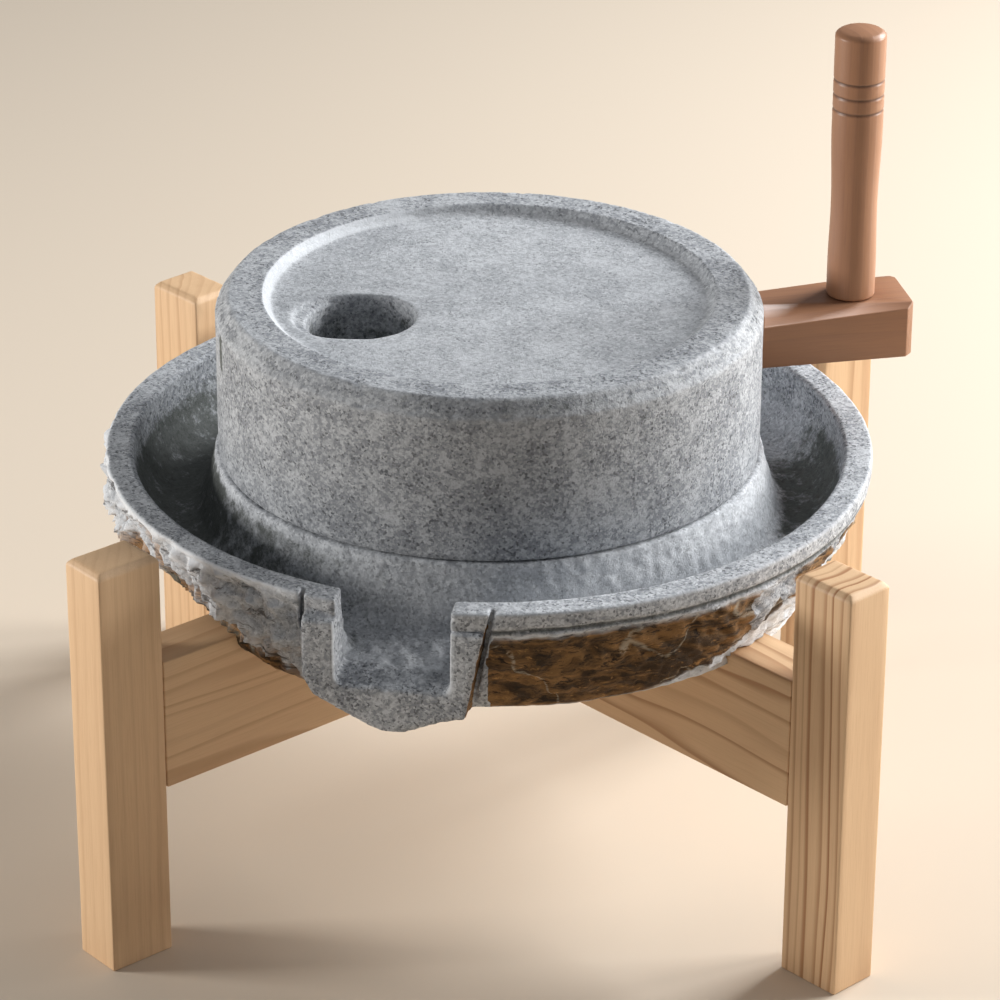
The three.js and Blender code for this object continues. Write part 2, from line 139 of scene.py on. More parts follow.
# ---- Runner stone --------------------------------------------------------------------------------------
BEVEL_WIDTH = 5.3
BEVEL_DROP = 7.6
BEVEL_FOOT = RUNNER_TOP - BEVEL_DROP
DISH_RADIUS = 103.6
DISH_DEPTH = 5.0
DISH_FLOOR = RUNNER_TOP - DISH_DEPTH
DISH_COVE = 7.0
FEED_HOLE_RADIUS = 25.0
FEED_HOLE_X, FEED_HOLE_Y = polar(61.3, -150.7)
WORN_LIP_SHIFT = polar(7.0, -166.6)
WORN_LIP_DEPTH = 2.6
ARM_WIDTH = 36.4
ARM_LET_IN = 34.0
SOCKET_RADIUS = 8.0
SOCKET_TOP = 209.2

# ---- Stretches of the stones' sides --------------------------------------------------------------------
# Each gives the direction of its middle, and how many degrees from there it ends and is whole.
CHIPPED = (-148.0, 52.0, 30.0)
RIGHT_CRUST = (-38.0, 62.0, 50.0)
BARE_PATCH = (-33.0, 9.0, 3.0)
BARE_END = (-9.0, 12.0, 2.0)
LEFT_CRUST = (-131.0, 25.0, 17.0)
KERF_CRUST = (-110.5, 11.0, 4.0)
BACK_CRUST = (100.0, 70.0, 30.0)
# The next two stretches mark painted shadow: the runner's shadow in the trough at the left and the front
# left. The third marks a real green stain.
LEFT_PAINTED_SHADOW = (176.0, 42.0, 18.0)
FRONT_PAINTED_SHADOW = (-150.0, 60.0, 20.0)
RIGHT_POOL = (12.0, 24.0, 10.0)
WORN_SLOPE = (-30.0, 70.0, 30.0)
# The next stretch marks a painted highlight along the dish's inner slope, strongest on the left.
COVE_HIGHLIGHT = (175.0, 80.0, 30.0)
SCAR = (-154.5, 1.7, 0.7)

# ---- Crank and stand -----------------------------------------------------------------------------------
GRIP_HEIGHT = 129.0
GRIP_RINGS = (91.8, 98.6, 105.9)
GRIP_COLUMNS = 73
GRIP_ROWS = 300
LEG_ANGLES = {
    "leg_front_left": RAIL_ANGLES["under"],
    "leg_front_right": RAIL_ANGLES["over"],
    "leg_back_right": RAIL_ANGLES["under"] + 180,
    "leg_back_left": RAIL_ANGLES["over"] + 180,
}
RAILS = {"rail_over": RAIL_ANGLES["over"], "rail_under": RAIL_ANGLES["under"]}


# ---- Stage, in metres ----------------------------------------------------------------------------------
FLOOR_WIDTH = 12.0
LIT_POINT = (0.0, 0.0, 0.19)
# Each light's name, place, size and colour.
LIGHTS = (
    ("back_light", (1.25, 1.28, 1.25), 0.85, (0.97, 0.985, 1.0)),
    ("right_light", (1.66, 0.58, 0.68), 0.45, (1.0, 0.99, 0.975)),
    ("left_light", (-1.42, -0.36, 0.46), 0.36, (1.0, 0.98, 0.95)),
)
CAMERA_LENS = 157.38
CAMERA_PLACE = (0.3503, -1.7983, 1.0484)
# The camera's turns in degrees: round the stand, up from looking straight down, and round its line of sight.
CAMERA_TURNS = ((10.86, "Z"), (64.063, "X"), (0.274, "Z"))


# ---- Settings a user would change ----------------------------------------------------------------------
def colour_property(name, description, colour):
    return FloatVectorProperty(
        name=name, description=description, subtype="COLOR", size=3, min=0, max=1, default=colour
    )


def number_property(name, description, default, unit="NONE"):
    return FloatProperty(name=name, description=description, default=default, unit=unit)


def count_property(name, description, default):
    return IntProperty(name=name, description=description, default=default)


class StoneSettings(bpy.types.PropertyGroup):
    """How fine and how rough the two stones are, and their colours."""

    base_turns: count_property("Base columns", "Columns of faces round the base stone", 490)
    runner_turns: count_property("Runner columns", "Columns of faces round the runner", 430)
    cell: number_property("Face size", "Height and width of the stones' faces", 0.00165, "LENGTH")
    hewn_depth: number_property("Hewn depth", "Depth of the chisel scallops outside", 0.0042, "LENGTH")
    grain: number_property("Grain", "Size of the granite's crystals", 0.00105, "LENGTH")
    light: colour_property("Light mineral", "Feldspar", (0.60, 0.62, 0.645))
    middle: colour_property("Middle mineral", "Quartz", (0.285, 0.30, 0.325))
    dark: colour_property("Dark mineral", "Mica", (0.085, 0.09, 0.10))
    ochre: colour_property("Ochre crust", "Weathered crust left on the outside", (0.25, 0.130, 0.043))
    # This colour paints real stains and also painted shade: the runner's shadow in the trough and the dark
    # line along the groove under the band.
    damp_and_shade: colour_property("Damp stain", "Dark green-grey stain in the trough", (0.05, 0.058, 0.046))


class WoodSettings(bpy.types.PropertyGroup):
    """Colours of the wood, and how its edges are eased."""

    pine_early: colour_property("Pine early wood", "Pale wood between the rings", (0.76, 0.51, 0.295))
    pine_late: colour_property("Pine late wood", "Dark line of each ring", (0.37, 0.16, 0.06))
    beech_early: colour_property("Crank wood", "Body colour of the crank", (0.385, 0.188, 0.098))
    beech_late: colour_property("Crank wood figure", "Darker streaks of the crank", (0.30, 0.145, 0.085))
    edge: number_property("Eased edge", "Radius of the timbers' edges", 0.0009, "LENGTH")


class StageSettings(bpy.types.PropertyGroup):
    """Floor and lights."""

    floor: colour_property("Floor", "Colour of the floor", (0.66, 0.565, 0.455))
    back_power: number_property("Back light", "Power of the light behind the right", 54.0, "POWER")
    right_power: number_property("Right light", "Power of the low light at the right", 27.0, "POWER")
    left_power: number_property("Left light", "Power of the low light at the left", 16.0, "POWER")
    sky: number_property("Room light", "Strength of the even light", 0.2)


# ---- Noise ---------------------------------------------------------------------------------------------
def hashed(ix, iy, iz, seed):
    """A repeatable random 32-bit number for each whole-numbered cell."""
    h = (ix * 0x8DA6B343 + iy * 0xD8163841 + iz * 0xCB1AB31F + seed * 0x9E3779B1) & 0xFFFFFFFF
    h ^= h >> 13
    h = (h * 0x5BD1E995) & 0xFFFFFFFF
    return h ^ (h >> 15)


def smooth_noise(points, size, seed):
    """Gradient noise between about -1 and 1, with cells of the given size."""
    p = points / size
    cell = np.floor(p).astype(np.int64)
    f = p - cell
    u = f * f * f * (f * (f * 6 - 15) + 10)
    total = np.zeros(len(points))
    for corner in np.ndindex(2, 2, 2):
        c = np.array(corner)
        h = hashed(*(cell + c).T, seed)
        gradient = np.stack([(h & 1023), (h >> 10) & 1023, (h >> 20) & 1023], axis=1) / 511.5 - 1
        weight = np.prod(np.where(c, u, 1 - u), axis=1)
        total += weight * np.einsum("ij,ij->i", gradient, f - c)
    return total * 1.6


def layered_noise(points, size, seed, layers=3, roughness=0.5):
    """Several sizes of noise on top of each other."""
    total = np.zeros(len(points))
    strength = 1.0
    for layer in range(layers):
        total += strength * smooth_noise(points, size / 2**layer, seed + layer)
        strength *= roughness
    return total


def scallops(points, size, seed):
    """Hollows struck side by side: 0 in the middle of each hollow and up to about 1 on the ridges."""
    p = points / size
    cell = np.floor(p).astype(np.int64)
    nearest = np.full(len(points), 9.0)
    for offset in np.ndindex(3, 3, 3):
        c = cell + np.array(offset) - 1
        h = hashed(*c.T, seed)
        jitter = np.stack([(h & 1023), (h >> 10) & 1023, (h >> 20) & 1023], axis=1) / 1023
        nearest = np.minimum(nearest, ((c + jitter - p) ** 2).sum(axis=1))
    return np.minimum(nearest, 1.2)


def ease(low, high, value):
    """0 below low, 1 above high and a smooth turn between."""
    t = np.clip((value - low) / (high - low), 0, 1)
    return t * t * (3 - 2 * t)


def turn_between(degrees, other):
    """How far round from one direction to another, the short way."""
    turn = np.abs(degrees - other) % 360
    return np.minimum(turn, 360 - turn)


def stretch(degrees, place):
    """1 in the middle of a stretch of a stone's side and 0 outside it."""
    middle, end, whole = place
    return ease(end, whole, turn_between(degrees, middle))


def turned_axes(x, y, angle):
    """How far points lie along a direction, and across it."""
    along = x * math.cos(angle) + y * math.sin(angle)
    across = -x * math.sin(angle) + y * math.cos(angle)
    return along, across


# ---- Solids as distances: negative inside, positive outside ----------------------------------------------
def common(a, b, rounding):
    """What both solids share, with the edge between them rounded."""
    h = np.clip(0.5 + 0.5 * (a - b) / rounding, 0, 1)
    return b + (a - b) * h + rounding * h * (1 - h)


def without(a, b, rounding):
    return common(a, -b, rounding)


def outline_distance(u, v, outline):
    """Distance from (u, v) to a closed outline of straight lines."""
    nearest = np.full(u.shape, 1e9)
    inside = np.zeros(u.shape, bool)
    for (u0, v0), (u1, v1) in zip(outline, outline[1:] + outline[:1]):
        du, dv = u1 - u0, v1 - v0
        t = np.clip(((u - u0) * du + (v - v0) * dv) / (du * du + dv * dv), 0, 1)
        nearest = np.minimum(nearest, np.hypot(u - u0 - t * du, v - v0 - t * dv))
        if dv:
            crosses = (v0 > v) != (v1 > v)
            inside ^= crosses & (u < u0 + (v - v0) * du / dv)
    return np.where(inside, -nearest, nearest)


def steps(low, high, size):
    """Evenly spaced numbers from low to high, about size apart."""
    return np.linspace(low, high, max(2, int(round((high - low) / size)) + 1))


def graded(start, *stretches):
    """Grid lines from start on through stretches, each given by its end and its spacing."""
    lines = []
    for end, size in stretches:
        lines.append(steps(start, end, size)[:-1])
        start = end
    return np.concatenate([*lines, [start]])


# How often the grid is gone over for touching surfaces, and how deep in the stone a filled corner lies.
SETTLING_ROUNDS = 4
JUST_INSIDE = 0.01


def part_touching(field):
    """Fills one corner where a grid face's corners alternate, so that no four faces share an edge."""
    for first, second in ((0, 1), (0, 2), (1, 2)) * SETTLING_ROUNDS:
        stone = field < 0
        beside = np.roll(stone, -1, first)
        above = np.roll(stone, -1, second)
        alternate = (stone == np.roll(beside, -1, second)) & (beside == above) & (stone != beside)
        field[alternate & ~stone] = -JUST_INSIDE
        field[np.roll(alternate & stone, 1, first)] = -JUST_INSIDE


def net_mesh(name, field, turn, radius, level):
    """A closed mesh of the surface where a field over (turn, radius, level) changes sign."""
    part_touching(field)
    shape = (len(turn), len(radius) - 1, len(level) - 1)
    inside = field < 0
    next_turn = np.append(turn[1:], turn[0] + 2 * math.pi)
    sums = np.zeros((int(np.prod(shape)), 3))
    counts = np.zeros(int(np.prod(shape)))
    quads = []
    for axis in range(3):
        ahead = np.roll(field, -1, 0) if axis == 0 else field[:, 1:] if axis == 1 else field[:, :, 1:]
        behind = field if axis == 0 else field[:, :-1] if axis == 1 else field[:, :, :-1]
        i, j, k = np.nonzero((ahead < 0) != (behind < 0))
        t = behind[i, j, k] / (behind[i, j, k] - ahead[i, j, k])
        angle = turn[i] + (t * (next_turn[i] - turn[i]) if axis == 0 else 0)
        r = radius[j] + (t * (radius[j + 1] - radius[j]) if axis == 1 else 0)
        z = level[k] + (t * (level[k + 1] - level[k]) if axis == 2 else 0)
        place = np.stack([r * np.cos(angle), r * np.sin(angle), z], axis=1)
        across = [a for a in range(3) if a != axis]
        ring = []
        for back in ((1, 1), (0, 1), (0, 0), (1, 0)):
            cell = [i, j, k]
            cell[across[0]] = cell[across[0]] - back[0]
            cell[across[1]] = cell[across[1]] - back[1]
            cell[0] = cell[0] % shape[0]
            real = (cell[1] >= 0) & (cell[1] < shape[1]) & (cell[2] >= 0) & (cell[2] < shape[2])
            flat = np.where(real, (cell[0] * shape[1] + cell[1]) * shape[2] + cell[2], -1)
            for column in range(3):
                sums[:, column] += np.bincount(flat[real], place[real, column], len(counts))
            counts += np.bincount(flat[real], minlength=len(counts))
            ring.append(flat)
        ring = np.stack(ring, axis=1)
        whole = (ring >= 0).all(axis=1)
        outward = inside[i, j, k] != (axis == 1)
        ring = np.where(outward[:, None], ring, ring[:, ::-1])
        quads.append(ring[whole])
    used = np.nonzero(counts)[0]
    index = np.full(len(counts), -1)
    index[used] = np.arange(len(used))
    vertices = sums[used] / counts[used, None]
    faces = index[np.concatenate(quads)]
    mesh = bpy.data.meshes.new(name)
    mesh.from_pydata(vertices * MM, [], faces.tolist())
    close_holes(mesh)
    return mesh


def close_holes(mesh):
    """Caps the small rings left open round the axis, and drops loose corners."""
    bm = bmesh.new()
    bm.from_mesh(mesh)
    bmesh.ops.delete(bm, geom=[v for v in bm.verts if not v.link_faces], context="VERTS")
    bmesh.ops.holes_fill(bm, edges=[e for e in bm.edges if e.is_boundary], sides=0)
    bmesh.ops.triangulate(bm, faces=[f for f in bm.faces if len(f.verts) > 4])
    bmesh.ops.recalc_face_normals(bm, faces=bm.faces)
    bm.to_mesh(mesh)
    bm.free()


def corners_of(mesh):
    """A mesh's corners in millimetres, and its normals there."""
    corners = np.empty(len(mesh.vertices) * 3)
    mesh.vertices.foreach_get("co", corners)
    normals = np.empty(len(mesh.vertices) * 3)
    mesh.vertex_normals.foreach_get("vector", normals)
    return corners.reshape(-1, 3) / MM, normals.reshape(-1, 3)


def put_corners(mesh, corners):
    mesh.vertices.foreach_set("co", (corners * MM).ravel())
    mesh.update()


def paint_mask(mesh, name, values):
    """Stores a mask on the mesh's corners for its material to read."""
    layer = mesh.attributes.new(name, "FLOAT", "POINT")
    layer.data.foreach_set("value", values.astype(np.float32))


def add_piece(mesh, name, material, slot, body, *nodes):
    """Puts a finished mesh in the scene in place of its CAD nodes."""
    piece = bpy.data.objects.new(name, mesh)
    bpy.context.scene.collection.objects.link(piece)
    mesh.materials.clear()
    mesh.materials.append(material)
    mesh.shade_smooth()
    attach(piece, body)
    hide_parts(*nodes)


# ---- Node helpers --------------------------------------------------------------------------------------
# The mix node has sockets for every kind of value; these are its colour sockets.
MIX_COLOUR_A = 6
MIX_COLOUR_B = 7
MIX_COLOUR_RESULT = 2


class Tree:
    """Adds and links the nodes of one node tree."""

    def __init__(self, tree):
        self.tree = tree

    def add(self, kind, inputs=None, **settings):
        node = self.tree.nodes.new(kind)
        for key, value in settings.items():
            setattr(node, key, value)
        for key, value in (inputs or {}).items():
            self.feed(node.inputs[key], value)
        return node

    def feed(self, socket, value):
        if isinstance(value, bpy.types.NodeSocket):
            self.tree.links.new(value, socket)
        else:
            socket.default_value = value

    def math(self, operation, a, b=0.0, c=None, clamp=False):
        inputs = {0: a, 1: b} if c is None else {0: a, 1: b, 2: c}
        node = self.add("ShaderNodeMath", inputs, operation=operation, use_clamp=clamp)
        return node.outputs[0]

    def times(self, a, b):
        return self.math("MULTIPLY", a, b)

    def minus(self, a, b):
        return self.math("SUBTRACT", a, b)

    def times_plus(self, a, b, c):
        return self.math("MULTIPLY_ADD", a, b, c)

    def vector(self, operation, a, b=None, scale=None):
        inputs = {0: a}
        if b is not None:
            inputs[1] = b
        if scale is not None:
            inputs["Scale"] = scale
        node = self.add("ShaderNodeVectorMath", inputs, operation=operation)
        return node.outputs["Value" if operation in ("LENGTH", "DOT_PRODUCT") else "Vector"]

    def mix(self, factor, a, b):
        inputs = {"Factor": factor, MIX_COLOUR_A: a, MIX_COLOUR_B: b}
        return self.add("ShaderNodeMix", inputs, data_type="RGBA").outputs[MIX_COLOUR_RESULT]

    def noise(self, vector, scale, detail=3.0, roughness=0.5, distortion=0.0):
        inputs = {
            "Vector": vector,
            "Scale": scale,
            "Detail": detail,
            "Roughness": roughness,
            "Distortion": distortion,
        }
        return self.add("ShaderNodeTexNoise", inputs).outputs["Fac"]

    def between(self, value, low, high):
        """0 below low and 1 above high, with a smooth turn."""
        inputs = {"Value": value, "From Min": low, "From Max": high}
        node = self.add("ShaderNodeMapRange", inputs, interpolation_type="SMOOTHSTEP")
        return node.outputs["Result"]

    def mask(self, name):
        return self.add("ShaderNodeAttribute", attribute_name=name).outputs["Fac"]


def new_group(name, tree_kind, inputs, outputs):
    """A node group with named sockets, as (group, Tree, input sockets, output node)."""
    group = bpy.data.node_groups.new(name, tree_kind)
    for way, sockets in (("INPUT", inputs), ("OUTPUT", outputs)):
        for socket, kind, *default in sockets:
            made = group.interface.new_socket(socket, in_out=way, socket_type="NodeSocket" + kind)
            if default:
                made.default_value = default[0]
    tree = Tree(group)
    given = tree.add("NodeGroupInput").outputs
    result = tree.add("NodeGroupOutput")
    return group, tree, given, result


def rgba(colour, share=1.0):
    return (*(min(1.0, c * share) for c in colour), 1.0)


def new_material(name, roughness):
    """A material with its Principled shader, as (material, Tree, shader)."""
    material = bpy.data.materials.new(name)
    material.use_nodes = True
    tree = Tree(material.node_tree)
    shader = material.node_tree.nodes["Principled BSDF"]
    shader.inputs["Roughness"].default_value = roughness
    return material, tree, shader


def millimetre_place(tree):
    """Object coordinates in millimetres."""
    place = tree.add("ShaderNodeTexCoord").outputs["Object"]
    return tree.vector("SCALE", place, scale=1 / MM)


# ---- Shared effects ------------------------------------------------------------------------------------
def granite_group():
    """Crystals of three minerals, cloudy patches and pits."""
    name = "Granite"
    if name in bpy.data.node_groups:
        return bpy.data.node_groups[name]
    group, tree, given, result = new_group(
        name,
        "ShaderNodeTree",
        [
            ("Vector", "Vector"),
            ("Grain", "Float"),
            ("Light", "Color"),
            ("Middle", "Color"),
            ("Dark", "Color"),
            ("Dark Share", "Float"),
        ],
        [("Color", "Color"), ("Height", "Float"), ("Roughness", "Float")],
    )
    place = given["Vector"]
    fine = tree.math("DIVIDE", 1.0, given["Grain"])
    jitter = tree.add("ShaderNodeTexNoise", {"Vector": place, "Scale": 0.9, "Detail": 2.0}).outputs["Color"]
    jitter = tree.vector("SUBTRACT", jitter, (0.5, 0.5, 0.5))
    loose = tree.vector("ADD", place, tree.vector("SCALE", jitter, scale=1.6))
    crystal = tree.add("ShaderNodeTexVoronoi", {"Vector": loose, "Scale": fine})
    small = tree.add("ShaderNodeSeparateColor", {"Color": crystal.outputs["Color"]})
    crystal = tree.add("ShaderNodeTexVoronoi", {"Vector": loose, "Scale": tree.times(fine, 0.45)})
    large = tree.add("ShaderNodeSeparateColor", {"Color": crystal.outputs["Color"]})
    powder = tree.noise(place, tree.times(fine, 1.3), 3.0, 0.7)
    cloud = tree.noise(place, 0.055, 4.0, 0.6)
    wide = tree.noise(place, 0.014, 2.0, 0.5)
    tone = tree.times_plus(small.outputs[0], 1.0, -0.70)
    tone = tree.times_plus(large.outputs[0], 0.60, tone)
    tone = tree.times_plus(powder, 0.7, tone)
    tone = tree.times_plus(tree.minus(cloud, 0.5), 1.5, tone)
    tone = tree.times_plus(tree.minus(wide, 0.5), 0.5, tone)
    tone = tree.math("MINIMUM", tree.math("MAXIMUM", tone, 0.0), 1.0)
    colour = tree.mix(tone, given["Middle"], given["Light"])
    edge = tree.minus(1.0, given["Dark Share"])
    cluster = tree.times_plus(tree.minus(cloud, 0.5), -0.55, small.outputs[1])
    flecks = tree.between(cluster, edge, tree.math("ADD", edge, 0.16))
    colour = tree.mix(tree.times(flecks, 0.75), colour, given["Dark"])
    tree.feed(result.inputs["Color"], colour)
    pits = tree.times(flecks, -0.6)
    tree.feed(result.inputs["Height"], tree.math("ADD", powder, pits))
    tree.feed(result.inputs["Roughness"], tree.times_plus(powder, 0.22, 0.70))
    return group


def timber_group():
    """Growth rings round a pith that runs along Z, with fibres and pores along the wood."""
    name = "Timber"
    if name in bpy.data.node_groups:
        return bpy.data.node_groups[name]
    group, tree, given, result = new_group(
        name,
        "ShaderNodeTree",
        [
            ("Vector", "Vector"),
            ("Ring Width", "Float"),
            ("Early", "Color"),
            ("Late", "Color"),
            ("Ring Strength", "Float"),
            ("Fibre Strength", "Float"),
            ("Waviness", "Float"),
        ],
        [("Color", "Color"), ("Height", "Float")],
    )
    place = given["Vector"]
    slow = tree.vector("MULTIPLY", place, (1.0, 1.0, 0.14))
    warp = tree.add("ShaderNodeTexNoise", {"Vector": slow, "Scale": 0.028, "Detail": 2.0}).outputs["Color"]
    warp = tree.vector("SUBTRACT", warp, (0.5, 0.5, 0.5))
    bent = tree.vector("ADD", place, tree.vector("SCALE", warp, scale=given["Waviness"]))
    flat = tree.vector("MULTIPLY", bent, (1.0, 1.0, 0.0))
    distance = tree.vector("LENGTH", flat)
    rings = tree.math("DIVIDE", distance, given["Ring Width"])
    uneven = tree.noise(tree.add("ShaderNodeCombineXYZ", {0: rings}).outputs[0], 0.45, 1.0)
    rings = tree.times_plus(uneven, 1.7, rings)
    step = tree.math("FRACT", rings)
    rise = tree.between(step, 0.45, 0.88)
    fall = tree.minus(1.0, tree.between(step, 0.90, 1.0))
    late = tree.times(rise, fall)
    each = tree.math("FLOOR", rings)
    strength = tree.add("ShaderNodeTexWhiteNoise", {"W": each}, noise_dimensions="1D").outputs["Value"]
    late = tree.times(late, tree.times_plus(strength, 0.65, 0.35))
    along = tree.vector("MULTIPLY", place, (1.0, 1.0, 0.022))
    fibre = tree.noise(along, 1.9, 3.0, 0.65)
    broad = tree.noise(along, 0.16, 2.0, 0.5)
    colour = tree.mix(tree.times(late, given["Ring Strength"]), given["Early"], given["Late"])
    streak = tree.times(tree.between(fibre, 0.42, 0.78), given["Fibre Strength"])
    colour = tree.mix(streak, colour, given["Late"])
    tint = tree.math("MULTIPLY", tree.math("SUBTRACT", broad, 0.42, clamp=True), 1.1, clamp=True)
    colour = tree.mix(tree.times(tint, given["Fibre Strength"]), colour, given["Late"])
    tree.feed(result.inputs["Color"], colour)
    height = tree.times_plus(late, 0.6, tree.times(fibre, -0.5))
    tree.feed(result.inputs["Height"], height)
    return group


# ---- Fixed colours -------------------------------------------------------------------------------------
CRACK_BROWN = (0.035, 0.025, 0.017)
VEIN_CREAM = (0.50, 0.44, 0.34)
CHAR = (0.06, 0.03, 0.02)
IRON_GREY = (0.10, 0.09, 0.085)
IRON_RUST = (0.16, 0.10, 0.07)


# ---- Materials -----------------------------------------------------------------------------------------
def granite_material(name, dark_share, brightness, crusted):
    """Granite, with an ochre crust, freshly broken faces, wet stains, wear, painted shade and painted light
    where the stone has those masks.
    """
    stone = bpy.context.scene.mill_stone
    material, tree, shader = new_material(name, 0.86)
    place = millimetre_place(tree)
    granite = tree.add(
        "ShaderNodeGroup",
        {
            "Vector": place,
            "Grain": stone.grain / MM,
            "Light": rgba(stone.light, brightness),
            "Middle": rgba(stone.middle, brightness),
            "Dark": rgba(stone.dark, brightness),
            "Dark Share": dark_share,
        },
        node_tree=granite_group(),
    )
    colour = granite.outputs["Color"]
    height = granite.outputs["Height"]
    if crusted:
        colour, height = add_crust(tree, place, colour, height, stone)
    # The mask holds real green-grey stains together with painted shade, the runner's shadow in the trough.
    damp_and_shade = tree.mask("damp_and_shade")
    patchy = tree.noise(place, 0.12, 6.0, 0.8)
    patchy = tree.times_plus(tree.minus(patchy, 0.5), 2.2, damp_and_shade)
    damp_and_shade = tree.times(tree.between(patchy, 0.30, 0.95), tree.between(damp_and_shade, 0.0, 0.25))
    colour = tree.mix(tree.times(damp_and_shade, 0.86), colour, rgba(stone.damp_and_shade))
    # Lighter where the mask says: real wear on the base's edges and slope, and a painted highlight along the
    # runner's dish edge.
    wear_and_highlight = tree.times(tree.mask("wear_and_highlight"), 0.8)
    colour = tree.mix(wear_and_highlight, colour, rgba(stone.light, 1.12))
    tree.feed(shader.inputs["Base Color"], colour)
    tree.feed(shader.inputs["Roughness"], granite.outputs["Roughness"])
    bump = tree.add("ShaderNodeBump", {"Strength": 0.55, "Distance": 0.0006, "Height": height})
    tree.feed(shader.inputs["Normal"], bump.outputs["Normal"])
    return material


def add_crust(tree, place, colour, height, stone):
    """The ochre crust, dark cracks, pale veins and freshly broken faces of the rough outside, a line of
    painted shade along the groove under the band, and painted light on the channel floor.
    """
    hewn = tree.mask("hewn")
    crust = tree.mask("crust")
    layers = tree.vector("MULTIPLY", place, (0.55, 0.55, 1.7))
    blotch = tree.noise(layers, 0.060, 6.0, 0.66, 1.0)
    fine = tree.noise(layers, 0.21, 6.0, 0.76, 0.5)
    brown = tree.mix(tree.between(blotch, 0.40, 0.60), rgba(stone.ochre, 0.25), rgba(stone.ochre, 1.15))
    brown = tree.mix(tree.between(fine, 0.48, 0.38), brown, rgba(stone.ochre, 0.12))
    brown = tree.mix(tree.between(fine, 0.56, 0.70), brown, rgba(stone.ochre, 2.2))
    show = tree.between(tree.times_plus(blotch, 0.8, crust), 0.78, 0.98)
    show = tree.times(show, tree.between(crust, 0.05, 0.3))
    colour = tree.mix(show, colour, brown)
    # Real freshly broken faces; on the channel floor the same lightening is painted light, standing in for
    # light that reaches the floor.
    fresh_and_lit = tree.times(tree.mask("fresh_and_lit"), tree.between(fine, 0.26, 0.52))
    colour = tree.mix(tree.times(fresh_and_lit, 0.85), colour, rgba(stone.light, 1.3))
    strata = tree.vector("MULTIPLY", place, (0.35, 0.35, 1.5))
    cracks = tree.between(tree.noise(strata, 0.13, 5.0, 0.7, 0.8), 0.43, 0.36)
    cracks = tree.times(cracks, hewn)
    colour = tree.mix(tree.times(cracks, 0.72), colour, rgba(CRACK_BROWN))
    veins = tree.noise(place, 0.022, 2.0, 0.5, 0.5)
    veins = tree.math("ABSOLUTE", tree.minus(veins, 0.5))
    veins = tree.minus(1.0, tree.between(veins, 0.0, 0.020))
    veins = tree.times(veins, tree.times(show, tree.between(fine, 0.42, 0.55)))
    colour = tree.mix(tree.times(veins, 0.7), colour, rgba(VEIN_CREAM))
    # Painted shade: a dark line along the groove under the turned band.
    groove_shade = tree.times(tree.mask("groove_shade"), tree.between(fine, 0.25, 0.5))
    colour = tree.mix(tree.times(groove_shade, 0.8), colour, rgba(stone.damp_and_shade, 0.7))
    rough = tree.times(tree.minus(fine, cracks), hewn)
    height = tree.times_plus(rough, 3.4, height)
    return colour, height


def timber_material(name, kind, middle, turn, pith, tilt=(0.0, 0.0, 0.0), brightness=1.0, **strengths):
    """Wood whose grain runs along the piece: middle, turn and tilt place the log's own axis in it."""
    wood = bpy.context.scene.mill_wood
    early = wood.pine_early if kind == "pine" else wood.beech_early
    late = wood.pine_late if kind == "pine" else wood.beech_late
    material, tree, shader = new_material(name, 0.55 if kind == "pine" else 0.42)
    place = tree.add("ShaderNodeTexCoord").outputs["Object"]
    centred = tree.vector("SUBTRACT", place, tuple(c * MM for c in middle))
    turned = tree.add(
        "ShaderNodeVectorRotate", {"Vector": centred, "Rotation": (0, 0, -turn)}, rotation_type="EULER_XYZ"
    ).outputs[0]
    tilted = tree.add(
        "ShaderNodeVectorRotate", {"Vector": turned, "Rotation": tilt}, rotation_type="EULER_XYZ"
    ).outputs[0]
    scaled = tree.vector("SCALE", tilted, scale=1 / MM)
    log = tree.vector("ADD", scaled, pith)
    values = {
        "Vector": log,
        "Ring Width": strengths.get("ring_width", 4.2),
        "Early": rgba(early, brightness),
        "Late": rgba(late, brightness),
        "Ring Strength": strengths.get("rings", 0.7),
        "Fibre Strength": strengths.get("fibre", 0.35),
        "Waviness": strengths.get("waviness", 14.0),
    }
    timber = tree.add("ShaderNodeGroup", values, node_tree=timber_group())
    colour = timber.outputs["Color"]
    if "burnt" in strengths:
        dark = tree.mask(strengths["burnt"])
        colour = tree.mix(tree.times(dark, 0.85), colour, rgba(CHAR))
    tree.feed(shader.inputs["Base Color"], colour)
    bump = tree.add(
        "ShaderNodeBump", {"Strength": 0.35, "Distance": 0.0002, "Height": timber.outputs["Height"]}
    )
    tree.feed(shader.inputs["Normal"], bump.outputs["Normal"])
    return material


def iron_material():
    """Bare forged iron."""
    material, tree, shader = new_material("forged_iron", 0.5)
    shader.inputs["Metallic"].default_value = 1.0
    place = millimetre_place(tree)
    patches = tree.noise(place, 0.4, 4.0, 0.6)
    colour = tree.mix(tree.between(patches, 0.4, 0.65), rgba(IRON_GREY), rgba(IRON_RUST))
    tree.feed(shader.inputs["Base Color"], colour)
    tree.feed(shader.inputs["Roughness"], tree.times_plus(patches, 0.4, 0.3))
    bump = tree.add("ShaderNodeBump", {"Strength": 0.4, "Distance": 0.0002, "Height": patches})
    tree.feed(shader.inputs["Normal"], bump.outputs["Normal"])
    return material


# ---- The base stone's shape ------------------------------------------------------------------------------
def chipped_side(degrees):
    """1 at the left front, where the turned band is chipped away, and 0 on the rest."""
    return stretch(degrees, CHIPPED)


def band_bottom(degrees):
    """The lower edge of the turned band, round the stone."""
    around = np.radians(degrees)
    ragged = 0.35 * np.sin(5 * around + 0.6) + 0.25 * np.sin(11 * around + 2.0)
    return BAND_FOOT + ragged + (BAND_HEIGHT - 1.6) * chipped_side(degrees)


